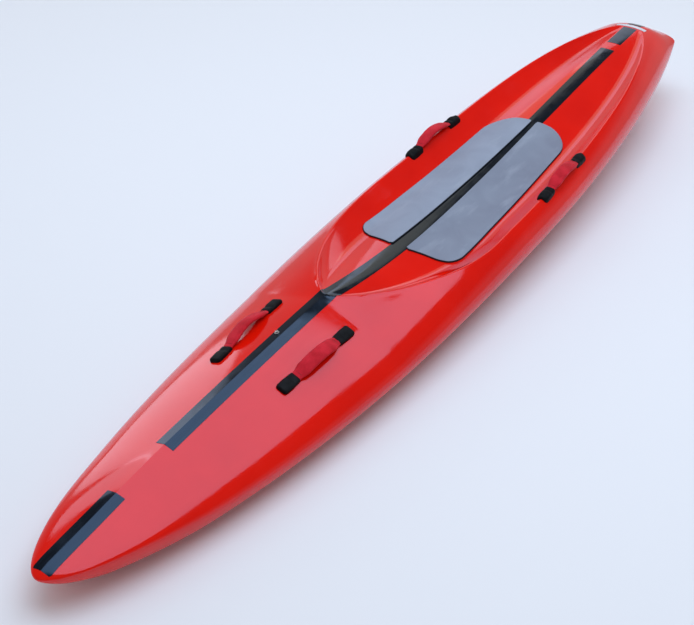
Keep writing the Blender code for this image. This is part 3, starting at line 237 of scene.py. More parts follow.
def rimField():
    # distance from the rim's line over a grid of s and y, positive inside the cockpit
    mouth, end, cell = cockpit["mouth"], cockpit["end"], rimGrid["cell"]
    scoop = mouth + cockpit["scoop"] * np.linspace(0, 1, rimGrid["mouthPoints"]) ** 3
    s = np.concatenate([scoop, np.linspace(mouth, end, rimGrid["points"])])
    line = np.stack([s, rimHalf(s)], -1)
    places = np.arange(mouth - rimGrid["before"], end + rimGrid["after"], cell)
    across = np.arange(0, hull["halfBeam"] + cell, cell)
    field = np.empty((len(places), len(across)))
    for k, place in enumerate(places):
        near = line[np.abs(line[:, 0] - place) < rimGrid["reach"]]
        gaps = np.hypot(near[:, 0] - place, near[:, 1] - across[:, None])
        half = rimHalf(place) if place > mouth else -1
        field[k] = gaps.min(axis=1) * np.where(across < half, 1, -1)
    return places[0], cell, field


rimMap = rimField()


def rimDistance(s, y):
    start, cell, field = rimMap
    s, y = np.broadcast_arrays(s, np.abs(y))
    u = np.clip((s - start) / cell, 0, field.shape[0] - 1.001)
    v = np.clip(y / cell, 0, field.shape[1] - 1.001)
    i, j = u.astype(int), v.astype(int)
    u, v = u - i, v - j
    near = field[i, j] * (1 - v) + field[i, j + 1] * v
    far = field[i + 1, j] * (1 - v) + field[i + 1, j + 1] * v
    return near * (1 - u) + far * u


def rimBead(s, y):
    # the rim stands up a little, as a rolled edge comes out of its mould
    fade = np.clip((cockpit["end"] - cockpit["beadStop"] - s) / cockpit["beadFade"], 0, 1)
    fade = fade * (1 - shareAcross(s, y) ** cockpit["beadRailFade"])
    fade = fade * (1 - cockpit["beadDip"] * bell(y, cockpit["beadDipWidth"]))
    return cockpit["beadHeight"] * fade * bell(rimDistance(s, y) - cockpit["beadInset"], cockpit["beadWidth"])


def deckHeight(s, y):
    return crownSurface(s, y) - dishDepth(s, y) + rimBead(s, y)


def bellyHeight(s, y):
    rail = railHeight(s)
    shape = np.interp(s, hull["bellyFrames"], hull["bellyShape"])
    fullness = np.interp(s, hull["bellyFrames"], hull["bellyFullness"])
    return rail - (rail - keelHeight(s)) * barrel(shareAcross(s, y), shape, fullness)


# from the level board's frame to the one in which it rests on its fin
stance = Matrix.Translation(hull["standAt"]) @ Matrix.Rotation(math.radians(hull["noseDown"]), 4, "Y")


def intoFrame(matrix, points):
    turn = np.array(matrix)
    return points @ turn[:3, :3].T + turn[:3, 3]


def onDeck(s, y, lift):
    # a point over the deck, lifted square to its surface
    step = 0.002
    alongSlope = (deckHeight(s + step, y) - deckHeight(s - step, y)) / (2 * step)
    acrossSlope = (deckHeight(s, y + step) - deckHeight(s, y - step)) / (2 * step)
    normal = np.stack([alongSlope, -acrossSlope, np.ones_like(alongSlope)], -1)
    normal /= np.linalg.norm(normal, axis=-1, keepdims=True)
    point = np.stack([fromMiddle(s), y, deckHeight(s, y)], -1)
    return intoFrame(stance, point + normal * np.asarray(lift)[..., None])


# materials

def linear(hexColour):
    # an sRGB hex value as Blender's linear colour
    values = [int(hexColour[k:k + 2], 16) / 255 for k in (1, 3, 5)]
    return [v / 12.92 if v <= 0.04045 else ((v + 0.055) / 1.055) ** 2.4 for v in values] + [1.0]


def addNode(tree, kind, settings=(), links=()):
    # a node given as a source stands for its Fac output, or else for its first one
    node = tree.nodes.new(kind)
    for key, value in dict(settings).items():
        if isinstance(key, int) or key in node.inputs:
            node.inputs[key].default_value = value
        else:
            setattr(node, key, value)
    for key, source in dict(links).items():
        if isinstance(source, bpy.types.Node):
            source = source.outputs.get("Fac", source.outputs[0])
        tree.links.new(source, node.inputs[key])
    return node


def startMaterial(name, **sockets):
    material = bpy.data.materials.new(name)
    material.use_nodes = True
    tree = material.node_tree
    for key, value in sockets.items():
        tree.nodes["Principled BSDF"].inputs[key.replace("_", " ")].default_value = value
    return material, tree, {"Vector": addNode(tree, "ShaderNodeTexCoord").outputs["Object"]}


cloudy = (0.35, 0.7)          # most of a noise's values lie between these


def dressShader(material, tone, colours, relief, wear=(), smudge=None):
    # tone: the pattern that runs between the two colours, and its values at them
    # relief: the patterns that raise the surface, each with its strength and its height in metres
    # wear: the patterns whose roughness adds up, each with two values and the roughness at them
    # smudge: a pattern, two values, how much of a third colour there is at them, and that colour
    tree = material.node_tree
    shader = tree.nodes["Principled BSDF"].inputs
    share = addNode(tree, "ShaderNodeMapRange", dict(enumerate(tone[1:], 1)), {0: tone[0]})
    ends = {"data_type": "RGBA", 6: linear(colours[0]), 7: linear(colours[1])}
    base = addNode(tree, "ShaderNodeMix", ends, {0: share}).outputs[2]
    if smudge:
        share = addNode(tree, "ShaderNodeMapRange", dict(enumerate(smudge[1:5], 1)), {0: smudge[0]})
        over = {"data_type": "RGBA", 7: linear(smudge[5])}
        base = addNode(tree, "ShaderNodeMix", over, {0: share, 6: base}).outputs[2]
    tree.links.new(base, shader["Base Color"])
    rough = None
    for pattern, *values in wear:
        part = addNode(tree, "ShaderNodeMapRange", dict(enumerate(values, 1)), {0: pattern})
        rough = addNode(tree, "ShaderNodeMath", {"operation": "ADD"}, {0: rough, 1: part}) if rough else part
    if rough:
        tree.links.new(rough.outputs[0], shader["Roughness"])
    below = {}
    for pattern, strength, height in relief:
        settings = {"Strength": strength, "Distance": height}
        below = {"Normal": addNode(tree, "ShaderNodeBump", settings, {"Height": pattern, **below})}
    tree.links.new(below["Normal"].outputs[0], shader["Normal"])
    return material


gelcoat = {
    "red": "#E41604",
    "deepRed": "#D81103",
    "swirls": 0.024,          # metres between polishing swirls, drawn coarser than the real 1 mm
    "scuffs": 0.07,
    "peel": 0.006,            # orange peel left by the mould, about 6 mm across
    "fairness": 0.30,         # slow waviness of a hand-laid skin
    "wave": 0.22,             # and of its colour
}


def makeGelcoat():
    # polyester gelcoat sprayed into a polished mould: wet gloss, faint swirls and a slow waviness; its
    # reflections are tinted blue, a painted sky reflection
    material, tree, at = startMaterial(
        "polished_gelcoat_red", Roughness=0.1, Specular_IOR_Level=0.52, Specular_Tint=(0.78, 0.84, 1, 1)
    )
    tone = addNode(tree, "ShaderNodeTexNoise", {"Scale": 1 / gelcoat["wave"], "Detail": 3.0}, at)
    lines = {"feature": "DISTANCE_TO_EDGE", "Scale": 1 / gelcoat["swirls"]}
    swirls = addNode(tree, "ShaderNodeTexVoronoi", lines, at)
    rubbed = {"Scale": 1 / gelcoat["scuffs"], "Detail": 8.0, "Roughness": 0.62}
    scuffs = addNode(tree, "ShaderNodeTexNoise", rubbed, at)
    peel = addNode(tree, "ShaderNodeTexNoise", {"Scale": 1 / gelcoat["peel"], "Detail": 1.0}, at)
    slow = addNode(tree, "ShaderNodeTexNoise", {"Scale": 1 / gelcoat["fairness"], "Detail": 1.0}, at)
    return dressShader(
        material,
        (tone, 0.3, 0.7),
        (gelcoat["red"], gelcoat["deepRed"]),
        [(peel, 0.12, 0.00018), (slow, 0.5, 0.0016)],
        wear=[(swirls, 0, 0.05, 0.05, 0), (scuffs, 0.45, 0.8, 0.06, 0.15)],
    )


bandPaint = {
    "black": "#070A10",
    "grey": "#10151F",
    "grain": (3.0, 60.0, 20.0),   # buffing marks, long fore and aft
    "haze": 0.045,
}


def makeBandPaint():
    # black two-part paint sprayed over the gelcoat and buffed: mirror-like, with dusty haze in places; its
    # reflections are tinted strongly blue, a painted sky reflection
    material, tree, at = startMaterial(
        "sprayed_black_enamel", Roughness=0.1, Specular_IOR_Level=0.6, Specular_Tint=(0.42, 0.66, 1, 1)
    )
    along = addNode(tree, "ShaderNodeMapping", {"Scale": bandPaint["grain"]}, at)
    streak = addNode(tree, "ShaderNodeTexNoise", {"Scale": 4.0, "Detail": 6.0}, {"Vector": along})
    haze = addNode(tree, "ShaderNodeTexNoise", {"Scale": 1 / bandPaint["haze"], "Detail": 7.0}, at)
    return dressShader(
        material,
        (streak, *cloudy),
        (bandPaint["black"], bandPaint["grey"]),
        [(haze, 0.1, 0.0002)],
        wear=[(haze, 0.4, 0.75, 0.07, 0.2)],
    )


padFoam = {
    "light": "#9099AA",
    "dark": "#848D9E",
    "portLight": "#828B9B",       # the port pad is drawn a little darker
    "portDark": "#777F90",
    "smudge": "#98A1B0",
    # near black for the pads' rounded edges: painted shade along the edges
    "edge": "#1B1F28",
    "patch": 0.11,
    "rubbed": (4.0, 16.0, 16.0),  # smudges and sanding marks run fore and aft
    "sanding": (30.0, 900.0, 900.0),
    "cell": 0.0025,               # foam cells, drawn coarser than the real 0.3 mm so that they show
}


def makePadFoam(name, light, dark):
    # closed-cell EVA sheet, sanded on top: matt and dusty, with pale knee smudges
    material, tree, at = startMaterial(
        name, Roughness=0.72, Specular_IOR_Level=0.35, Sheen_Weight=0.12, Sheen_Roughness=0.5
    )
    blotches = {"Scale": 1 / padFoam["patch"], "Detail": 5.0, "Distortion": 0.6}
    patch = addNode(tree, "ShaderNodeTexNoise", blotches, at)
    cells = addNode(tree, "ShaderNodeTexVoronoi", {"Scale": 1 / padFoam["cell"]}, at)
    along = addNode(tree, "ShaderNodeMapping", {"Scale": padFoam["sanding"]}, at)
    scratch = addNode(tree, "ShaderNodeTexNoise", {"Scale": 1.0, "Detail": 3.0}, {"Vector": along})
    along = addNode(tree, "ShaderNodeMapping", {"Scale": padFoam["rubbed"]}, at)
    smears = {"Scale": 1.4, "Detail": 6.0, "Roughness": 0.6}
    smear = addNode(tree, "ShaderNodeTexNoise", smears, {"Vector": along})
    return dressShader(
        material,
        (patch, *cloudy),
        (dark, light),
        [(cells, 0.3, 0.0004), (scratch, 0.25, 0.0003)],
        wear=[(patch, 0.3, 0.7, 0.62, 0.8)],
        smudge=(smear, 0.55, 0.8, 0, 0.7, padFoam["smudge"]),
    )


# metres across the clouds of wear or dirt on each kind of surface
clouds = {"cloth": 0.03, "plastic": 0.02, "metal": 0.004, "laminate": 0.03}
waveLength = 0.318            # about the metres that one of Blender's waves takes at a scale of 1


def makeWoven(name, first, second, pitch, sheen):
    # cloth face: fine ribs along and across, matt, with a soft sheen at the edges of a fold
    material, tree, at = startMaterial(
        name, Roughness=0.78, Specular_IOR_Level=0.3, Sheen_Weight=sheen, Sheen_Roughness=0.4
    )
    worn = addNode(tree, "ShaderNodeTexNoise", {"Scale": 1 / clouds["cloth"], "Detail": 6.0}, at)
    rib = {"Scale": waveLength / pitch, "Distortion": 0.8, "Detail": 1.0}
    ribs = {k: addNode(tree, "ShaderNodeTexWave", {"bands_direction": "XY"[k], **rib}, at) for k in (0, 1)}
    weave = addNode(tree, "ShaderNodeMath", {"operation": "MULTIPLY"}, ribs)
    return dressShader(
        material,
        (worn, *cloudy),
        (first, second),
        [(weave, 0.5, 0.0005), (worn, 0.35, 0.0012)],
        wear=[(worn, 0.3, 0.7, 0.7, 0.86)],
    )


def makePlastic(name, first, second, roughness, grain, gloss=0.5):
    # injection-moulded plastic: an even spark-eroded grain, a little shinier where it is handled
    material, tree, at = startMaterial(name, Roughness=roughness, Specular_IOR_Level=gloss)
    cloud = addNode(tree, "ShaderNodeTexNoise", {"Scale": 1 / clouds["plastic"], "Detail": 5.0}, at)
    pits = addNode(tree, "ShaderNodeTexNoise", {"Scale": 1 / grain}, at)
    wear = [(cloud, *cloudy, roughness - 0.07, roughness + 0.08)]
    return dressShader(material, (cloud, *cloudy), (first, second), [(pits, 0.3, 0.0003)], wear)


def makeMetal(name, first, second, roughness, turning):
    # turned or drawn metal: fine tool marks and a thin film of dirt
    material, tree, at = startMaterial(name, Metallic=1.0, Roughness=roughness)
    film = addNode(tree, "ShaderNodeTexNoise", {"Scale": 1 / clouds["metal"], "Detail": 5.0}, at)
    marks = addNode(tree, "ShaderNodeTexNoise", {"Scale": 1 / turning}, at)
    wear = [(film, 0.3, 0.7, roughness - 0.06, roughness + 0.1)]
    return dressShader(material, (film, 0.4, 0.7), (first, second), [(marks, 0.2, 0.0001)], wear)


def makeFinLaminate():
    # carbon twill in clear epoxy, sanded and polished: dark weave squares deep under a gloss
    material, tree, at = startMaterial(
        "carbon_twill_in_epoxy", Roughness=0.22, Coat_Weight=1.0, Coat_Roughness=0.06
    )
    slanting = addNode(tree, "ShaderNodeMapping", {"Rotation": (0, math.radians(45), 0)}, at)
    # 4 mm squares, drawn coarser than the real 2 mm twill
    squares = addNode(tree, "ShaderNodeTexChecker", {"Scale": 1 / 0.004}, {"Vector": slanting})
    haze = addNode(tree, "ShaderNodeTexNoise", {"Scale": 1 / clouds["laminate"], "Detail": 6.0}, at)
    wear = [(haze, *cloudy, 0.16, 0.34)]
    return dressShader(material, (squares, 0, 1), ("#0B0C0E", "#23262B"), [(squares, 0.15, 0.0002)], wear)


def makeFoamCore():
    # moulded polystyrene: a white honeycomb of beads about 4 mm across
    material, tree, at = startMaterial("expanded_polystyrene", Roughness=0.9)
    beads = addNode(tree, "ShaderNodeTexVoronoi", {"Scale": 1 / 0.004}, at)
    return dressShader(material, (beads, 0, 1), ("#F1F2EE", "#D9DCD6"), [(beads, 0.5, 0.0008)])


def makePly():
    # birch ply on edge: pale and dark veneers about 1.4 mm thick, waxy
    material, tree, at = startMaterial("birch_plywood", Roughness=0.6)
    layers = {"bands_direction": "Y", "Scale": 230.0, "Distortion": 1.5}
    veneer = addNode(tree, "ShaderNodeTexWave", layers, at)
    return dressShader(material, (veneer, 0, 1), ("#C9A46E", "#9A7040"), [(veneer, 0.2, 0.0003)])


finish = {
    "gelcoat": makeGelcoat(),
    "band": makeBandPaint(),
    "padPort": makePadFoam("sanded_eva_foam_port", padFoam["portLight"], padFoam["portDark"]),
    "padStarboard": makePadFoam("sanded_eva_foam_starboard", padFoam["light"], padFoam["dark"]),
    # the pads' rounded edges are near black: painted shade along every edge
    "padEdgeShade": makePlastic("eva_edge_painted_shade", padFoam["edge"], "#0E1016", 0.6, 0.002),
    # nylon jersey bonded to neoprene: 1 mm knit, drawn at 2 mm so that it shows
    "sleeve": makeWoven("crimson_jersey_on_neoprene", "#CE0F28", "#B2081C", 0.002, 0.06),
    "thread": makeWoven("bonded_nylon_thread", "#5C0810", "#3C050A", 0.0008, 0.2),
    "cover": makePlastic("moulded_rubber_black", "#07090D", "#030406", 0.62, 0.0012, gloss=0.18),
    "webbing": makeWoven("woven_polyester_webbing", "#121316", "#08090A", 0.0016, 0.2),
    "steel": makeMetal("stainless_steel_turned", "#C4C6C9", "#A9ABAF", 0.24, 0.0006),
    "plug": makePlastic("black_nylon_plug", "#101113", "#1A1B1E", 0.45, 0.001),
    "valve": makeMetal("nickel_plated_brass", "#E4E2DD", "#D0CDC6", 0.36, 0.0005),
    "rubber": makePlastic("nitrile_rubber", "#0A0A0B", "#141415", 0.6, 0.0008),
    "strip": makePlastic("pearl_white_paint", "#DCDDE2", "#C9CCD6", 0.3, 0.0015),
    "fin": makeFinLaminate(),
    "finBox": makePlastic("glass_filled_nylon_black", "#0E0F11", "#191A1D", 0.5, 0.0014),
    "brass": makeMetal("milled_brass", "#C79A4B", "#A47A34", 0.3, 0.0007),
    "foam": makeFoamCore(),
    "ply": makePly(),
}
print("finishes made:", len(finish))


# mesh helpers

def toMesh(name, bm):
    mesh = bpy.data.meshes.new(name)
    bm.to_mesh(mesh)
    bm.free()
    return mesh


def addObject(name, data):
    thing = bpy.data.objects.new(name, data)
    bpy.context.scene.collection.objects.link(thing)
    return thing


def pick(made, kind):
    # the new verts, edges or faces among what an operator gives back
    return [item for item in made["geom"] if isinstance(item, kind)]


def openEdges(bm):
    return [edge for edge in bm.edges if edge.is_boundary]


def fillHoles(bm):
    bmesh.ops.holes_fill(bm, edges=openEdges(bm), sides=0)
    bmesh.ops.triangulate(bm, faces=[face for face in bm.faces if len(face.verts) > 4])


def cutAway(bm, at, facing):
    # clears what lies beyond this y, on the side that the cut faces
    everything = bm.verts[:] + bm.edges[:] + bm.faces[:]
    bmesh.ops.bisect_plane(
        bm, geom=everything, plane_co=(0, at, 0), plane_no=(0, facing, 0), clear_outer=True
    )


def drape(rows, wrapped=False, filled=False):
    # a grid pulled onto rows of points; wrapped rows close round on themselves
    if wrapped:
        rows = np.concatenate([rows, rows[:, :1]], axis=1)
    bm = bmesh.new()
    made = bmesh.ops.create_grid(bm, x_segments=rows.shape[1] - 1, y_segments=rows.shape[0] - 1, size=1)
    for vert, point in zip(made["verts"], rows.reshape(-1, 3)):
        vert.co = point
    bmesh.ops.remove_doubles(bm, verts=bm.verts, dist=1e-6)
    if filled:
        bmesh.ops.holes_fill(bm, edges=openEdges(bm), sides=0)
    return bm


def layOnDeck(bm):
    # flat work in s, y and height is laid on the deck
    flat = np.array([vert.co for vert in bm.verts])
    for vert, point in zip(bm.verts, onDeck(flat[:, 0], flat[:, 1], flat[:, 2])):
        vert.co = point


def addPiece(name, bm, materials, body, nodes, sharp=None, matrix=None):
    if matrix:
        bmesh.ops.transform(bm, matrix=matrix, verts=bm.verts)
    bmesh.ops.recalc_face_normals(bm, faces=bm.faces)
    for face in bm.faces:
        face.smooth = True
    mesh = toMesh(name, bm)
    for material in materials:
        mesh.materials.append(finish[material])
    if sharp:
        mesh.set_sharp_from_angle(angle=math.radians(sharp))
    piece = addObject(name, mesh)
    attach(piece, body)
    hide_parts(*nodes)
    print(name, len(mesh.polygons), "faces")
    return piece


# hull skin

skin = {
    "tip": (0.05, 15),         # length and rows of the nose's closing
    "tail": (0.02, 12),        # and of the tail's
    "breaks": [0.05, 1.058, 1.13, 3.03, 3.08, 3.17, 3.18],
    "steps": (0.010, 0.002),   # row spacing between the breaks, in turn
    "leastStep": 2e-5,
    "insideColumns": 34,
    "outsideColumns": 26,
    "bellyColumns": 30,
    "leastInner": 0.30,
    "lead": (0.40, 0.05),      # the columns close in on the rim from here, and let go this far aft of it
    "deckCrowding": 1.5,
    "bellyCrowding": 2.6,
}


def hullRows():
    (tipLength, tipRows), (tailLength, tailRows) = skin["tip"], skin["tail"]
    rows = [
        tipLength * (1 - np.cos(np.linspace(0, math.pi / 2, tipRows))),
        hull["length"] - tailLength * (1 - np.sin(np.linspace(0, math.pi / 2, tailRows))),
    ]
    for k, (start, end) in enumerate(zip(skin["breaks"], skin["breaks"][1:])):
        rows.append(np.linspace(start, end, round((end - start) / skin["steps"][k % 2]) + 1))
    rows = np.unique(np.round(np.concatenate(rows), 6))
    return rows[np.concatenate([[True], np.diff(rows) > skin["leastStep"]])]


def mirrored(columns):
    # from the centre line out, made into port rail to starboard rail
    return np.concatenate([columns[:, ::-1], -columns[:, 1:]], 1)


def deckColumns(s):
    # columns crowd at the cockpit's rim and at the rail
    half = halfBeam(s)
    least = half * skin["leastInner"]
    most = np.maximum(half - cockpit["gunwale"], (least + half) / 2)
    mouth, end = cockpit["mouth"], cockpit["end"]
    lead = np.interp(s, [skin["lead"][0], mouth, end, end + skin["lead"][1]], [0, 1, 1, 0])
    rim = np.clip(rimHalf(s), least, most)
    rim = np.where((s > mouth) & (s < end), rim, most + (least - most) * lead)
    t = np.linspace(0, 1, skin["insideColumns"] + 1)
    inside = rim[:, None] * (1 - (1 - t) ** skin["deckCrowding"])
    t = np.linspace(0, 1, skin["outsideColumns"] + 1)[1:]
    outside = rim[:, None] + (half - rim)[:, None] * (1 - np.cos(math.pi * t)) / 2
    return mirrored(np.concatenate([inside, outside], 1))


def bellyColumns(s):
    t = np.linspace(0, 1, skin["bellyColumns"] + 1)
    return mirrored(halfBeam(s)[:, None] * (1 - (1 - t) ** skin["bellyCrowding"]))


core = {
    "inset": 0.006,
    "gap": 0.0025,
    "webHalf": 0.002,
    "ends": (0.06, 0.05),      # where the foam stops short of the nose and the tail
    "everyRow": 6,
    "narrowest": 0.01,         # half width under which the inset no longer grows
}


def hullBody(rows, inset=0.0, side=0):
    # deck and bottom joined at the rail, moved in by the inset, whole or only one side of it
    s = rows[:, None]
    bm = bmesh.new()
    for height, columns, way in ((deckHeight, deckColumns, -1), (bellyHeight, bellyColumns, 1)):
        y = columns(rows)
        z = height(s, y) + way * inset * np.sqrt(np.maximum(1 - shareAcross(s, y) ** 2, 0))
        share = 1 - inset / np.maximum(halfBeam(s), core["narrowest"])
        points = np.stack([np.broadcast_to(fromMiddle(s), y.shape), y * share, z], -1)
        part = drape(intoFrame(stance, points))
        mesh = toMesh("part", part)
        bm.from_mesh(mesh)
        bpy.data.meshes.remove(mesh)
    bmesh.ops.remove_doubles(bm, verts=bm.verts, dist=2e-6)
    if side:
        cutAway(bm, side * core["gap"], -side)
    fillHoles(bm)
    return bm


finBox = {
    "setback": 0.400,
    "length": 0.262,
    "width": 0.026,
    "corner": 0.0117,
    "depth": 0.030,
    "fit": 0.0003,
}


def finBoxFrame():
    place, half = hull["length"] - finBox["setback"], finBox["length"] / 2
    fore, aft = float(keelHeight(place - half)), float(keelHeight(place + half))
    slope = math.atan((aft - fore) / finBox["length"])
    seat = Matrix.Translation((fromMiddle(place), 0, (fore + aft) / 2))
    return stance @ seat @ Matrix.Rotation(slope, 4, "Y")


def cutFinPocket(piece):
    # the slot that the fin box is let into, cut from the skin
    cutter = bmesh.new()
    bmesh.ops.create_cube(cutter, size=1)
    room = 2 * finBox["fit"]
    size = (finBox["length"] + room, finBox["width"] + room, 2 * (finBox["depth"] + finBox["fit"]))
    bmesh.ops.scale(cutter, verts=cutter.verts, vec=size)
    upright = [e for e in cutter.edges if abs(e.verts[0].co.z - e.verts[1].co.z) > finBox["depth"]]
    bmesh.ops.bevel(
        cutter, geom=upright, offset=finBox["corner"], segments=6, profile=0.5, affect="EDGES", material=-1
    )
    bmesh.ops.transform(cutter, matrix=finBoxFrame(), verts=cutter.verts)
    bmesh.ops.recalc_face_normals(cutter, faces=cutter.faces)
    holder = addObject("finPocket", toMesh("finPocket", cutter))
    pocket = piece.modifiers.new("finPocket", "BOOLEAN")
    pocket.object, pocket.solver = holder, "EXACT"
    graph = bpy.context.evaluated_depsgraph_get()
    cut = bpy.data.meshes.new_from_object(piece.evaluated_get(graph))
    piece.modifiers.clear()
    piece.data = cut
    bpy.data.objects.remove(holder, do_unlink=True)


ridge = {"startsAhead": 0.01, "above": 0.105, "corner": math.radians(50)}


def markRidge(bm):
    # the foredeck's ridge stays crisp, and so does every sharper corner
    end = fromMiddle(cockpit["mouth"]) + ridge["startsAhead"]
    for edge in bm.edges:
        ends = [vert.co for vert in edge.verts]
        onRidge = all(abs(co.y) < 1e-5 and co.x > end and co.z > ridge["above"] for co in ends)
        if onRidge or edge.calc_face_angle(0) > ridge["corner"]:
            edge.smooth = False


def makeHull():
    rows = hullRows()
    bm = hullBody(rows)
    markRidge(bm)
    piece = addPiece("hull_skin", bm, ["gelcoat"], "board", ["deck_shell", "bottom_shell"])
    cutFinPocket(piece)
    fore, aft = core["ends"]
    coarse = rows[(rows > fore) & (rows < hull["length"] - aft)][::core["everyRow"]]
    for name, side in (("port", 1), ("starboard", -1)):
        half = hullBody(coarse, core["inset"], side)
        addPiece("foam_core_" + name, half, ["foam"], "board", ["core_" + name], sharp=40)
    web = hullBody(coarse, core["inset"])
    for side in (1, -1):
        cutAway(web, side * core["webHalf"], side)
    fillHoles(web)
    addPiece("stringer_web", web, ["ply"], "board", ["stringer"], sharp=40)


makeHull()


# centre band and tail strip

band = {
    "half": 0.025,
    "lift": 0.0007,
    "step": 0.005,
    "columns": 20,
    "noseShare": 0.72,         # share of the nose's width that the band may take
    "pieces": {
        "nose": (0.018, 0.257),
        "middle": (0.423, 2.840),
        "tail": (2.891, 3.033),
        "end": (3.069, 3.111),
    },
}


def flatStrip(start, end, look):
    # a thin closed slab in s, y and height
    rows = max(round((end - start) / look["step"]), 4)
    bm = bmesh.new()
    bmesh.ops.create_grid(bm, x_segments=rows, y_segments=look["columns"], size=0.5)
    bmesh.ops.scale(bm, verts=bm.verts, vec=(end - start, 2 * look["half"], 1))
    bmesh.ops.translate(bm, verts=bm.verts, vec=((start + end) / 2, 0, -look["lift"]))
    made = bmesh.ops.extrude_face_region(bm, geom=bm.faces[:])
    bmesh.ops.translate(bm, verts=pick(made, bmesh.types.BMVert), vec=(0, 0, 2 * look["lift"]))
    return bm


def makeBands():
    for name, (start, end) in band["pieces"].items():
        bm = flatStrip(start, end, band)
        if name == "nose":                 # its fore end narrows with the nose
            for vert in bm.verts:
                vert.co.y *= min(1, band["noseShare"] * float(halfBeam(vert.co.x)) / band["half"])
        layOnDeck(bm)
        markRidge(bm)
        addPiece("centre_band_" + name, bm, ["band"], "board", ["band_" + name])


makeBands()

tailStrip = {
    "start": 3.041,
    "length": 0.020,
    "half": 0.054,
    "bow": 0.006,
    "lift": 0.0015,
    "step": 0.002,
    "columns": 40,
}


def makeTailStrip():
    start = tailStrip["start"]
    bm = flatStrip(start, start + tailStrip["length"], tailStrip)
    for vert in bm.verts:
        vert.co.x -= tailStrip["bow"] * (vert.co.y / tailStrip["half"]) ** 2
    layOnDeck(bm)
    addPiece("tail_strip_pearl", bm, ["strip"], "board", ["tail_strip"], sharp=50)


makeTailStrip()


# knee pads

pad = {
    "start": 1.437,
    "end": 2.282,
    "gapFore": 0.042,
    "gapAft": 0.016,
    "halfFore": 0.163,
    "halfAft": 0.140,
    "cornerFore": 0.062,
    "slant": 0.024,           # how far the fore edge's outer corner lies aft of the inner one
    "slantFade": 0.25,        # and how far aft the slant is felt
    "cornerAft": 0.105,
    "aftTurn": 12,            # degrees at which the aft corner's arc leaves for the inner corner
    "cornerInner": 0.007,
    "thickness": 0.0056,
    "edge": 0.0024,           # width of the rounded edge
    # the edge rounds over and then falls straight: shares of its width and of the thickness
    "roll": [(0.45, 0.95), (0.80, 0.84), (1.0, 0.62), (1.0, 0.0)],
    "cell": 0.004,
    "spacing": 0.002,
}


def arc(centre, radius, start, end, count):
    angles = np.radians(np.linspace(start, end, count))
    return np.stack([centre[0] + radius * np.cos(angles), centre[1] + radius * np.sin(angles)], -1)


def padOutline(inset):
    # the pad in plan, closed and evenly spaced, moved in by the inset
    fore, aft, inner = pad["cornerFore"], pad["cornerAft"], pad["cornerInner"]
    start, end, gap = pad["start"], pad["end"], pad["gapFore"] / 2
    runs = [
        arc((start + inner, gap + inner), inner, 270, 180, 6),
        arc((start + fore, pad["halfFore"] - fore), fore, 180, 90, 24),
        arc((end - aft, pad["halfAft"] - aft), aft, 90, pad["aftTurn"], 30),
        arc((end - inner, pad["gapAft"] / 2 + inner), inner, 0, -90, 6),
    ]
    loop = np.concatenate(runs)
    across = np.clip((loop[:, 1] - gap) / (pad["halfFore"] - fore - gap), 0, 1.3)
    loop[:, 0] += pad["slant"] * across * np.clip(1 - (loop[:, 0] - start) / pad["slantFade"], 0, 1)
    loop = np.concatenate([loop, loop[:1]])
    lengths = np.concatenate([[0], np.cumsum(np.linalg.norm(np.diff(loop, axis=0), axis=1))])
    places = np.linspace(0, lengths[-1], round(lengths[-1] / pad["spacing"]))[:-1]
    loop = np.stack([np.interp(places, lengths, loop[:, k]) for k in (0, 1)], -1)
    run = np.roll(loop, -1, axis=0) - np.roll(loop, 1, axis=0)
    outward = np.stack([-run[:, 1], run[:, 0]], -1)
    outward /= np.linalg.norm(outward, axis=1, keepdims=True)
    if np.sum((loop - loop.mean(axis=0)) * outward) < 0:
        outward = -outward
    return loop - outward * inset, outward


def insideLoop(loop, points):
    found = np.zeros(len(points), bool)
    for (ax, ay), (bx, by) in zip(loop, np.roll(loop, -1, axis=0)):
        crosses = (ay > points[:, 1]) != (by > points[:, 1])
        if ay != by:
            found ^= crosses & (points[:, 0] < (bx - ax) * (points[:, 1] - ay) / (by - ay) + ax)
    return found


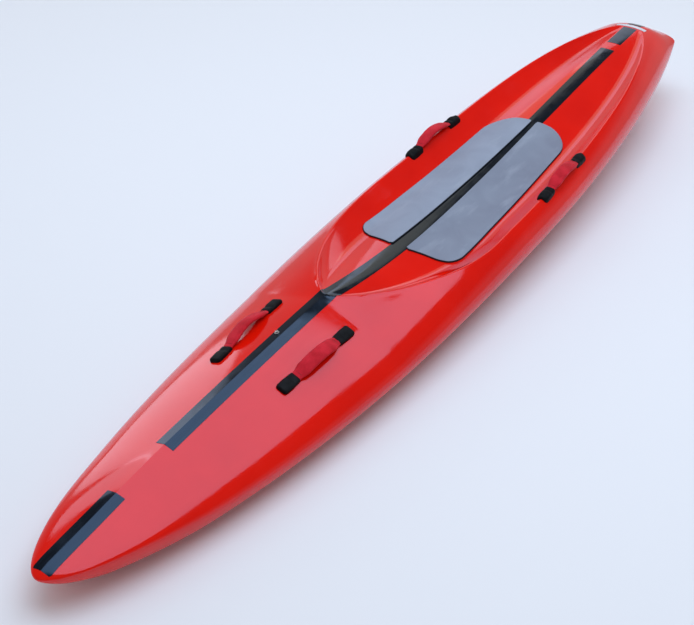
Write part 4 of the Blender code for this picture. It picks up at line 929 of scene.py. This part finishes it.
def makePad(name, side):
    loop, outward = padOutline(pad["edge"])
    low, high = loop.min(axis=0), loop.max(axis=0)
    bm = bmesh.new()
    cells = np.maximum(np.round((high - low) / pad["cell"]).astype(int), 1)
    bmesh.ops.create_grid(bm, x_segments=int(cells[0]), y_segments=int(cells[1]), size=0.5)
    bmesh.ops.scale(bm, verts=bm.verts, vec=(*(high - low), 1))
    bmesh.ops.translate(bm, verts=bm.verts, vec=(*((low + high) / 2), pad["thickness"]))
    flat = np.array([vert.co for vert in bm.verts])[:, :2]
    keep = insideLoop(loop, flat)
    bmesh.ops.delete(bm, geom=[vert for vert, kept in zip(bm.verts, keep) if not kept], context="VERTS")
    bmesh.ops.delete(bm, geom=[vert for vert in bm.verts if not vert.link_faces], context="VERTS")
    place = bm.verts.layers.int.new("outline")

    def setOnOutline(vert, out):
        vert.co.x, vert.co.y = loop[vert[place]] + outward[vert[place]] * (pad["edge"] * out)

    for vert in [vert for vert in bm.verts if vert.is_boundary]:
        vert[place] = int(np.argmin(np.sum((loop - np.array(vert.co)[:2]) ** 2, axis=1)))
        setOnOutline(vert, 0)
    bmesh.ops.remove_doubles(bm, verts=[vert for vert in bm.verts if vert.is_boundary], dist=1e-5)
    edges = openEdges(bm)
    under = bmesh.ops.duplicate(bm, geom=bm.verts[:] + bm.edges[:] + bm.faces[:])
    for vert in pick(under, bmesh.types.BMVert):
        vert.co.z = 0
        if vert.is_boundary:
            setOnOutline(vert, 1)
    for k, (out, height) in enumerate(pad["roll"]):
        made = bmesh.ops.extrude_edge_only(bm, edges=edges)
        edges = pick(made, bmesh.types.BMEdge)
        for vert in pick(made, bmesh.types.BMVert):
            setOnOutline(vert, out)
            vert.co.z = pad["thickness"] * height
        # the edge below its top share takes the near-black finish: painted shade along the pad's edge
        for face in pick(made, bmesh.types.BMFace):
            face.material_index = 1 if k > 0 else 0
    bmesh.ops.remove_doubles(bm, verts=bm.verts, dist=1e-6)
    for vert in bm.verts:
        vert.co.y *= side
    layOnDeck(bm)
    looks = ["pad" + name.capitalize(), "padEdgeShade"]
    label = "knee_pad_foam_" + name
    piece = addPiece(label, bm, looks, "board", ["knee_pad_" + name], sharp=60)


makePad("port", 1)
makePad("starboard", -1)


# handles

handle = {
    "length": 0.290,
    "width": 0.035,
    "webWidth": 0.025,
    "webThickness": 0.0022,
    "rise": 0.021,
    "screwSetback": 0.026,
    "archInset": 0.011,               # the webbing starts to rise this far inside the screws
    "fit": 0.0003,
    "places": {                       # place along the hull, offset, and degrees that it is splayed
        "handle_bow": (0.877, 0.1055, 2.4),
        "handle_cockpit": (2.018, 0.2245, -1.3),
    },
}

sleeve = {
    "end": (0.0275, 0.0085),          # width and thickness at its ends
    "middle": (0.0385, 0.0135),
    "neck": 0.017,                    # length of the gathered neck beside each cover
    "shoulder": 0.030,                # and of the slope from it to the wide middle
    "gap": 0.0015,                    # between the sleeve and each cover
    "rows": 72,
    "columns": 48,
    "closing": (0.30, 0.72),          # how far the last two rings draw in through,
    "closingAcross": 0.4,             # and the share of that across
    "section": (0.62, 0.82),          # fullness across and through, 1 for an ellipse
    "gathered": 0.020,
    "folds": (9, 55, 0.08),           # folds round the neck, their twist in radians a metre, their depth
    "tightened": 0.06,
    "groove": (0.009, 0.0035, 0.10),  # place, width and depth of the pinch under the stitches
    "dents": (60, 1.6, 1.2),          # how quickly the dents change along, across and through
    "dentDepth": (0.045, 0.02),       # and their depth through and across
    "stitchRows": (0.010, 0.0145),
    "stitches": np.linspace(-0.0080, 0.0080, 7),
    "stitchHeight": 0.93,             # share of the neck's half thickness at which the thread lies
    "stitch": {"radius1": 0.00045, "radius2": 0.00045, "depth": 0.0019},
}

cover = {
    "length": 0.060,
    "height": 0.0105,
    "firstRings": [0.0, 0.0008],
    "evenRings": (0.003, 0.052, 20),
    "lastRings": (0.008, 10),         # length of the rounded end and its rings
    "corner": (0.012, 2.3, 0.42),     # length and power of the end's corners, share of width left there
    "narrowing": (0.10, 0.012),       # depth and length, towards the sleeve
    "hold": (0.80, 0.020),            # the rubber lies on the deck towards its end
    "endRound": (0.008, 2.4),
    "waist": (0.17, 0.017, 0.0055),   # depth, place and width
    "hollow": (0.05, 0.045, 0.012),
    "lip": (0.10, 0.0012),
    "waistInPlan": 0.04 / 0.17,       # share of the waist that is seen from above
    "section": 0.42,                  # fullness, far below 1 for a box with rounded shoulders
    "sunk": (0.0006, 0.0012),         # how deep its foot and the middle of its underside lie
    "mouthWall": 0.0018,
    "mouthDepth": 0.004,
}


def handleFrame(place, offset, splay):
    half, side = handle["length"] / 2, handle["width"] / 2
    turn = Matrix.Rotation(math.radians(splay), 3, "Z")
    centre = Vector((fromMiddle(place), offset, 0))

    def seat(along, across):
        point = centre + turn @ Vector((along, across, 0))
        point.z = float(deckHeight(fromMiddle(point.x), point.y))
        return point

    screw = half - handle["screwSetback"]
    fore, aft = seat(screw, 0), seat(-screw, 0)
    forward = (fore - aft).normalized()
    across = sum((seat(x, side) - seat(x, -side) for x in (screw, -screw)), Vector())
    normal = forward.cross(across).normalized()
    across = normal.cross(forward)
    origin = (fore + aft) / 2
    # it stands on the highest places under its two ends
    under = [
        seat(way * x, handle["webWidth"] / 2 * share)
        for way in (-1, 1)
        for x in np.linspace(half - cover["length"], half, 7)
        for share in np.linspace(-1, 1, 9)
    ]
    origin += normal * max((point - origin).dot(normal) for point in under)
    axes = Matrix((forward, across, normal)).transposed().to_4x4()
    return Matrix.Translation(origin) @ axes


def deckUnder(seat, x, y):
    # height of the deck in the handle's frame, under points of that frame
    level = intoFrame(seat, np.stack([x, y, np.zeros_like(x)], -1))
    return (deckHeight(fromMiddle(level[..., 0]), level[..., 1]) - level[..., 2]) * seat[2][2]


def webRun(x, reach):
    # height and slope of the webbing's arch
    u = x / reach
    height = handle["fit"] + handle["webThickness"] / 2 + handle["rise"] * np.maximum(1 - u * u, 0) ** 2
    return height, -4 * handle["rise"] * u * np.maximum(1 - u * u, 0) / reach


def fuller(circle, power):
    # sines or cosines of a circle made into those of a boxier ring
    return np.sign(circle) * np.abs(circle) ** power


def addStitches(bm, half, reach):
    # rows of thread hold the sleeve's ends to the webbing
    top = sleeve["end"][1] / 2 * sleeve["stitchHeight"]
    lying = Matrix.Rotation(math.radians(90), 4, "X")
    for way in (-1, 1):
        for row in sleeve["stitchRows"]:
            place = way * (half - row)
            z, lean = webRun(place, reach)
            lean = math.atan(lean)
            for across in sleeve["stitches"]:
                spot = (place - top * math.sin(lean), across, float(z) + top * math.cos(lean))
                matrix = Matrix.Translation(spot) @ lying
                made = bmesh.ops.create_cone(bm, cap_ends=True, segments=6, matrix=matrix, **sleeve["stitch"])
                for face in {face for vert in made["verts"] for face in vert.link_faces}:
                    face.material_index = 1


def makeSleeve(name, seat, reach):
    half = handle["length"] / 2 - cover["length"] - sleeve["gap"]
    x = np.concatenate([[-half] * 2, np.linspace(-half, half, sleeve["rows"]), [half] * 2])
    shrink = np.ones(len(x))
    shrink[[0, -1]], shrink[[1, -2]] = sleeve["closing"]
    around = np.linspace(0, 2 * math.pi, sleeve["columns"], endpoint=False)
    swell = (half - np.abs(x) - sleeve["neck"] + sleeve["shoulder"] / 2) / sleeve["shoulder"]
    swell = ease(np.clip(swell, 0, 1))
    width, thick = (end + (middle - end) * swell for end, middle in zip(sleeve["end"], sleeve["middle"]))
    cos, sin = np.cos(around), np.sin(around)
    across, through = fuller(cos, sleeve["section"][0]), fuller(sin, sleeve["section"][1])
    height, slope = webRun(x, reach)
    tilt = np.arctan(slope)
    folds, twist, foldDepth = sleeve["folds"]
    groove, grooveWidth, grooveDepth = sleeve["groove"]
    along, wide, tall = sleeve["dents"]
    dentThrough, dentAcross = sleeve["dentDepth"]
    rows = []
    for k in range(len(x)):
        near = bell(half - abs(x[k]), sleeve["gathered"])      # 1 at the ends, where the cloth is gathered
        rumple = 1 + foldDepth * near * np.sin(folds * around + twist * x[k]) - sleeve["tightened"] * near
        pinch = 1 - grooveDepth * bell(abs(x[k]) - half + groove, grooveWidth)
        spots = [(x[k] * along, c * wide + len(name), s * tall) for c, s in zip(cos, sin)]
        wave = np.array([noise.noise(Vector(spot)) for spot in spots])
        puff = (1 + dentThrough * wave) * rumple * pinch * shrink[k]
        drawn = 1 - sleeve["closingAcross"] * (1 - shrink[k])
        y = across * width[k] / 2 * (1 + dentAcross * wave) * drawn
        out = through * thick[k] / 2 * puff
        rows.append(np.stack([x[k] - out * math.sin(tilt[k]), y, height[k] + out * math.cos(tilt[k])], -1))
    bm = drape(np.array(rows), wrapped=True, filled=True)
    addStitches(bm, half, reach)
    piece = addPiece(
        name + "_sleeve_padded", bm, ["sleeve", "thread"], "board", [name + "_sleeve"],
        sharp=60, matrix=stance @ seat,
    )


def makeCover(name, seat, way):
    # a moulded end cap: rounded outer corners, a waist, and a lip where the sleeve goes in
    outer = handle["length"] / 2
    inner = outer - cover["length"]
    roundLength, rings = cover["lastRings"]
    rounded = 1 - np.sin(np.linspace(0.15, 1, rings) * math.pi / 2)
    u = np.concatenate([
        cover["firstRings"], np.linspace(*cover["evenRings"]), cover["length"] - roundLength * rounded
    ])
    x = inner + u
    corner, power, least = cover["corner"]
    end = np.clip((x - (outer - corner)) / corner, 0, 0.995)
    plan = handle["width"] / 2 * (least + (1 - least) * barrel(end, power, power))
    depth, length = cover["narrowing"]
    plan = plan * (1 - depth * bell(u, length))
    share, length = cover["hold"]
    hold = share * ease(np.clip((outer - x) / length, 0, 1))
    length, power = cover["endRound"]
    tall = cover["height"] * barrel(1 - np.clip((outer - x) / length, 0.02, 1), power, power)
    waist = 1 - sum(depth * bell(u - at, width) for depth, at, width in (cover["waist"], cover["hollow"]))
    lip = 1 - cover["lip"][0] * bell(u, cover["lip"][1])
    angle = np.linspace(0, math.pi, 29)
    across, up = fuller(np.cos(angle), cover["section"]), fuller(np.sin(angle), cover["section"])
    foot, middle = cover["sunk"]
    rows = []
    for k in range(len(x)):
        y = plan[k] * (1 - cover["waistInPlan"] * (1 - waist[k])) * across
        base = deckUnder(seat, np.full(len(y), way * x[k]), y) - foot
        z = base + (tall[k] * waist[k] * lip[k] - base * hold[k]) * up
        z = np.maximum(z, base)
        under = np.linspace(y[-1], y[0], 12)[1:-1]
        floor = deckUnder(seat, np.full(len(under), way * x[k]), under) - middle
        ring = np.concatenate([np.stack([y, z], -1), np.stack([under, floor], -1)])
        rows.append(np.concatenate([np.full((len(ring), 1), way * x[k]), ring], 1))
    bm = drape(np.array(rows), wrapped=True, filled=True)
    ends = [face for face in bm.faces if len(face.verts) > 20]
    mouth = [face for face in ends if abs(face.calc_center_median().x) < (inner + outer) / 2]
    bmesh.ops.inset_region(bm, faces=mouth, thickness=cover["mouthWall"], depth=-cover["mouthDepth"])
    label = "fore" if way > 0 else "aft"
    addPiece(
        f"{name}_end_cap_{label}", bm, ["cover"], "board", [f"{name}_cover_{label}"],
        sharp=45, matrix=stance @ seat,
    )


def makeHandles():
    reach = handle["length"] / 2 - handle["screwSetback"] - handle["archInset"]
    for label, (place, offset, splay) in handle["places"].items():
        for name, side in (("port", 1), ("starboard", -1)):
            seat = handleFrame(place, side * offset, -side * splay)
            makeSleeve(f"{label}_{name}", seat, reach)
            for way in (1, -1):
                makeCover(f"{label}_{name}", seat, way)


makeHandles()


# vent in the foredeck

vent = {
    "place": 0.881,
    "offset": -0.0145,
    "flange": 0.0125,
    "flangeRounding": 0.0006,
    "barrel": 0.0095,
    "bore": 0.0052,
    "depth": 0.016,
    "rimHeight": 0.0014,
    "under": 0.0013,          # the band and a sliver of air under the flange
    "ring": (0.0066, 0.0011),
    "head": (0.0088, 0.0022),
    "headRounding": 0.0009,
    "shaft": (0.0042, 0.010),
    "threadStart": 0.0006,    # from the shaft's end, and from the head where it stops
    "threadEnd": 0.0012,
    "neck": 0.0006,           # of full width, between the thread and the head
    "chamfer": 0.0003,
    "pitch": 0.0007,
    "gap": 0.0003,
    "socket": 0.0030,
    # the open ring on top is drawn in to a hexagon and let down as the key's socket: depth and share of width
    "socketSteps": [(0.0, 1.0), (-0.0013, 1.0), (-0.0013, 0.35)],
}


def turned(profile, steps):
    # a profile of radius and height spun round the upright axis
    bm = bmesh.new()
    verts = [bm.verts.new((radius, 0, height)) for radius, height in profile]
    for first, second in zip(verts, verts[1:]):
        bm.edges.new((first, second))
    bmesh.ops.spin(
        bm, geom=bm.verts[:] + bm.edges[:], cent=(0, 0, 0), axis=(0, 0, 1), angle=2 * math.pi,
        steps=steps, use_merge=True,
    )
    bmesh.ops.remove_doubles(bm, verts=bm.verts, dist=1e-6)
    return bm


def rounding(radius, height, size):
    # a profile's rounded corner, from its side up to its top
    angles = np.linspace(0, math.pi / 2, 6)
    return [(radius - size * (1 - math.cos(a)), height - size * (1 - math.sin(a))) for a in angles]


def ventFrame():
    place, offset, step = vent["place"], vent["offset"], 0.004

    def at(s, y):
        return Vector((fromMiddle(s), y, float(deckHeight(s, y))))

    forward = at(place - step, offset) - at(place + step, offset)
    across = at(place, offset + step) - at(place, offset - step)
    normal = forward.cross(across).normalized()
    across = normal.cross(forward).normalized()
    axes = Matrix((across.cross(normal), across, normal)).transposed().to_4x4()
    return stance @ Matrix.Translation(at(place, offset)) @ axes


def makeVent():
    matrix = ventFrame()
    low, foot, chamfer = vent["under"], -vent["depth"], vent["chamfer"]
    top = low + vent["rimHeight"]
    bore, barrelRadius, flange = vent["bore"] / 2, vent["barrel"] / 2, vent["flange"] / 2
    rounded = rounding(flange, top, vent["flangeRounding"])[::-1]
    profile = [(bore, top - chamfer), (bore + chamfer, top), *rounded]
    profile += [(flange, low), (barrelRadius, low), (barrelRadius, foot), (bore, foot), (bore, top - chamfer)]
    bm = turned(profile, 64)
    addPiece(
        "vent_flange_turned", bm, ["valve"], "board", ["vent_body"], sharp=35, matrix=matrix
    )

    middle, section = vent["ring"][0] / 2, vent["ring"][1] / 2
    centre = top + vent["gap"] + section
    angles = np.linspace(0, 2 * math.pi, 17)
    bm = turned([(middle + section * math.cos(a), centre + section * math.sin(a)) for a in angles], 48)
    addPiece("vent_seal_ring", bm, ["rubber"], "vent_screw", ["vent_oring"], matrix=matrix)

    seat = centre + section + vent["gap"]
    head, height = vent["head"][0] / 2, vent["head"][1]
    shaft, length = vent["shaft"][0] / 2, vent["shaft"][1]
    profile = [(0.0004, seat - length), (shaft - chamfer, seat - length + chamfer)]
    for z in np.arange(seat - length + vent["threadStart"], seat - vent["threadEnd"], vent["pitch"]):
        profile += [(shaft - chamfer, z), (shaft, z + vent["pitch"] / 2)]
    profile += [(shaft, seat - vent["neck"]), (shaft, seat)]
    profile += [(head - chamfer, seat), (head, seat + chamfer)]
    bm = turned(profile + rounding(head, seat + height, vent["headRounding"]), 60)
    rim = [edge for edge in openEdges(bm) if edge.verts[0].co.z > seat]
    sixth = math.pi / 3
    for depth, share in vent["socketSteps"]:
        made = bmesh.ops.extrude_edge_only(bm, edges=rim)
        rim = pick(made, bmesh.types.BMEdge)
        for vert in pick(made, bmesh.types.BMVert):
            turn = math.atan2(vert.co.y, vert.co.x)
            reach = vent["socket"] / 2 / math.cos((turn + sixth / 2) % sixth - sixth / 2) * share
            vert.co = (reach * math.cos(turn), reach * math.sin(turn), seat + height + depth)
    bmesh.ops.holes_fill(bm, edges=openEdges(bm), sides=0)
    addPiece(
        "vent_plug_screw", bm, ["valve"], "vent_screw", ["vent_screw"], sharp=35, matrix=matrix
    )


makeVent()


# fin

fin = {
    "thickness": 0.0088,
    "height": 0.122,
    "chord": 0.118,
    "tipChord": 0.046,
    "taper": 1.6,             # powers of the narrowing and of the sweep towards the tip
    "rake": 0.052,
    "sweep": 1.5,
    "foreShare": 0.45,        # share of the narrowing that comes off the fore edge
    "tip": 0.90,              # where the rounded tip starts
    "tipPull": (0.18, 0.36),  # how the tip draws in, at its fore edge and in its chord
    "thinning": 0.65,
    "foil": (1.9, 0.12),      # roundness of the fore edge and thickness of the aft one
    "rings": [0.0, *np.linspace(0.02, 0.97, 34), 0.99, 0.999],
    "points": 25,
    "gap": 0.0003,
    "tabLength": 0.158,
    "tabHeight": 0.019,
    "toeLength": 0.024,
    "toeHeight": 0.0075,
    "toeDrop": 0.0009,
    "overlap": 0.004,
    "tabRounding": 0.0006,
}


def makeFin():
    rows, gap = [], fin["gap"]
    for t in fin["rings"]:
        chord = fin["tipChord"] + (fin["chord"] - fin["tipChord"]) * (1 - t ** fin["taper"])
        back = fin["rake"] * t ** fin["sweep"]
        lead = fin["chord"] / 2 - back - (fin["chord"] - chord) * fin["foreShare"]
        blunt = math.sqrt(max(1 - between(t, fin["tip"], 1) ** 2, 0.02))
        thick = fin["thickness"] / 2 * (1 - fin["thinning"] * t) * blunt
        lead -= chord * (1 - blunt) * fin["tipPull"][0]
        chord *= 1 - (1 - blunt) * fin["tipPull"][1]
        x = ease(np.linspace(0, 1, fin["points"]))
        y = np.minimum(thick * (fin["foil"][0] * np.sqrt(x) * (1 - x) + fin["foil"][1] * x), thick)
        top = np.stack([lead - chord * x, y], -1)
        ring = np.concatenate([top, (top * (1, -1))[::-1][1:-1]])
        rows.append(np.concatenate([ring, np.full((len(ring), 1), -gap - (fin["height"] - gap) * t)], 1))
    bm = drape(np.array(rows), wrapped=True, filled=True)
    half, overlap = fin["tabLength"] / 2, fin["overlap"]
    toe = half - fin["toeLength"]
    blocks = [
        (-half, toe, -overlap, fin["tabHeight"]),
        (toe - overlap, half, -fin["toeDrop"], fin["toeHeight"]),
    ]
    for start, end, low, high in blocks:
        made = bmesh.ops.create_cube(bm, size=1)["verts"]
        bmesh.ops.scale(bm, verts=made, vec=(end - start, fin["thickness"], high - low))
        bmesh.ops.translate(bm, verts=made, vec=((start + end) / 2, 0, (low + high) / 2))
        edges = list({edge for vert in made for edge in vert.link_edges})
        bmesh.ops.bevel(
            bm, geom=edges, offset=fin["tabRounding"], segments=2, profile=0.5, affect="EDGES", material=-1
        )
    addPiece("fin_blade", bm, ["fin"], "fin_assembly", ["fin"], sharp=40, matrix=finBoxFrame())


makeFin()


# finishes of the CAD's own fittings

def dressNodes():
    looks = {
        "strap": "webbing",
        "washer": "steel",
        "plug": "plug",
        "fin_box": "finBox",
        "fin_pin": "brass",
        "fin_plate_nut": "brass",
        "fin_screw": "steel",
        "screw": "steel",
    }
    for name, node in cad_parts.items():
        for key, look in looks.items():
            if key in name and node.type == "MESH":
                for slot in node.material_slots:
                    slot.material = finish[look]
                break


dressNodes()
print("fittings dressed")


# floor, light and camera

blueSky, paleSky, warmSky = (0.81, 0.93, 1.13), (0.90, 0.95, 1.08), (1.10, 1.00, 0.78)
studio = {
    "floor": "#E6E7EA",
    "floorReach": 90,
    "backdrop": 0.42,
    "upperWalls": 0.11,       # what the backdrop falls to above about 25 degrees
    "wallFade": (0.20, 0.42),     # the sines of the heights between which it falls
    "sky": (0.96, 0.98, 1.0, 1),
    "fill": 0.48,
    "panels": {
        "overheadFore": {"at": (0.625, 0.66, 4.5), "size": (2.75, 4.4)},
        "overheadNose": {"at": (-0.15, -3.2, 4.5), "size": (1.2, 3.2)},
        "overheadMiddle": {"at": (-1.675, 0.65, 4.5), "size": (1.85, 3.9)},
        "overheadAft": {"at": (-3.225, 1.7, 4.5), "size": (1.25, 2.2)},
        "side": {
            "at": (-3.35, -7.75, 1.95), "aim": (0.9, -0.1, 0.2), "size": (2.5, 3.4),
            "radiance": 1.8, "colour": paleSky,
        },
        "lowAft": {
            "at": (-5.6, -1.0, 2.46), "aim": (-1.4, 0, 0.15), "size": (3.4, 1.15),
            "radiance": 1.1, "colour": paleSky,
        },
        "lowMiddle": {
            "at": (-4.2, -2.5, 2.68), "aim": (-0.2, 0, 0.14), "size": (2.2, 1.2),
            "radiance": 0.62, "colour": warmSky,
        },
        "lowFore": {"at": (-4.1, -2.85, 1.75), "aim": (0.35, 0, 0.14), "size": (1.9, 0.9), "radiance": 0.9},
        "sideNose": {
            "at": (-0.75, -4.25, 2.31), "aim": (1.3, -0.05, 0.15), "size": (1.4, 0.9),
            "radiance": 1.8, "colour": paleSky,
        },
    },
}


def addPanel(name, at, size, aim=None, radiance=2.3, colour=blueSky):
    # overhead panels are rectangles that look down, the aimed ones are ellipses
    light = bpy.data.lights.new(name, "AREA")
    light.shape = "ELLIPSE" if aim else "RECTANGLE"
    light.size, light.size_y = size
    light.energy = radiance * math.pi * size[0] * size[1] * (math.pi / 4 if aim else 1)
    light.color = colour
    lamp = addObject(name, light)
    lamp.location = at
    if aim:
        lamp.rotation_euler = (Vector(aim) - Vector(at)).to_track_quat("-Z", "Y").to_euler()


def makeStudio():
    bm = bmesh.new()
    bmesh.ops.create_grid(bm, x_segments=2, y_segments=2, size=studio["floorReach"])
    bmesh.ops.translate(bm, verts=bm.verts, vec=(0, 0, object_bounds()[0][2]))
    floor = addObject("floor", toMesh("floor", bm))
    paint = startMaterial("matt_studio_paint", Roughness=0.9, Base_Color=linear(studio["floor"]))[0]
    floor.data.materials.append(paint)

    world = bpy.data.worlds.new("studio")
    bpy.context.scene.world = world
    world.use_nodes = True
    tree = world.node_tree
    tree.nodes.clear()
    rays = addNode(tree, "ShaderNodeLightPath").outputs
    seen = rays["Is Camera Ray"]
    for ray in (rays["Is Glossy Ray"], rays["Is Transmission Ray"]):
        seen = addNode(tree, "ShaderNodeMath", {"operation": "MAXIMUM"}, {0: seen, 1: ray})
    # the walls are pale behind the board and fall off to grey higher up
    facing = addNode(tree, "ShaderNodeTexCoord").outputs["Generated"]
    height = addNode(tree, "ShaderNodeSeparateXYZ", {}, {0: facing}).outputs[2]
    low, high = studio["wallFade"]
    fade = {1: low, 2: high, 3: studio["backdrop"], 4: studio["upperWalls"]}
    walls = addNode(tree, "ShaderNodeMapRange", fade, {0: height})
    strength = addNode(tree, "ShaderNodeMapRange", {3: studio["fill"]}, {0: seen, 4: walls})
    sky = addNode(tree, "ShaderNodeBackground", {"Color": studio["sky"]}, {"Strength": strength})
    addNode(tree, "ShaderNodeOutputWorld", {}, {"Surface": sky})
    for name, panel in studio["panels"].items():
        addPanel(name, **panel)
    bpy.context.scene.view_settings.view_transform = "Standard"


makeStudio()

camera = {
    "at": (2.7711, 1.5421, 2.2004),   # in the level board's frame
    "yaw": 0.5812,
    "pitch": 0.6483,
    "roll": -0.0032,
    "lens": 67.93,
    "sensor": 36.0,
    "clipEnd": 100,
}


def makeCamera():
    yaw, pitch, roll = camera["yaw"], camera["pitch"], camera["roll"]
    look = Vector((-math.cos(yaw) * math.cos(pitch), -math.sin(yaw) * math.cos(pitch), -math.sin(pitch)))
    level = look.cross(Vector((0, 0, 1))).normalized()
    upright = level.cross(look)
    right = level * math.cos(roll) + upright * math.sin(roll)
    up = upright * math.cos(roll) - level * math.sin(roll)
    axes = Matrix((right, up, -look)).transposed().to_4x4()
    lens = bpy.data.cameras.new("camera")
    lens.lens, lens.sensor_width, lens.clip_end = camera["lens"], camera["sensor"], camera["clipEnd"]
    eye = addObject("camera", lens)
    eye.matrix_world = stance @ Matrix.Translation(camera["at"]) @ axes
    bpy.context.scene.camera = eye


makeCamera()
print("floor, lights and camera set")
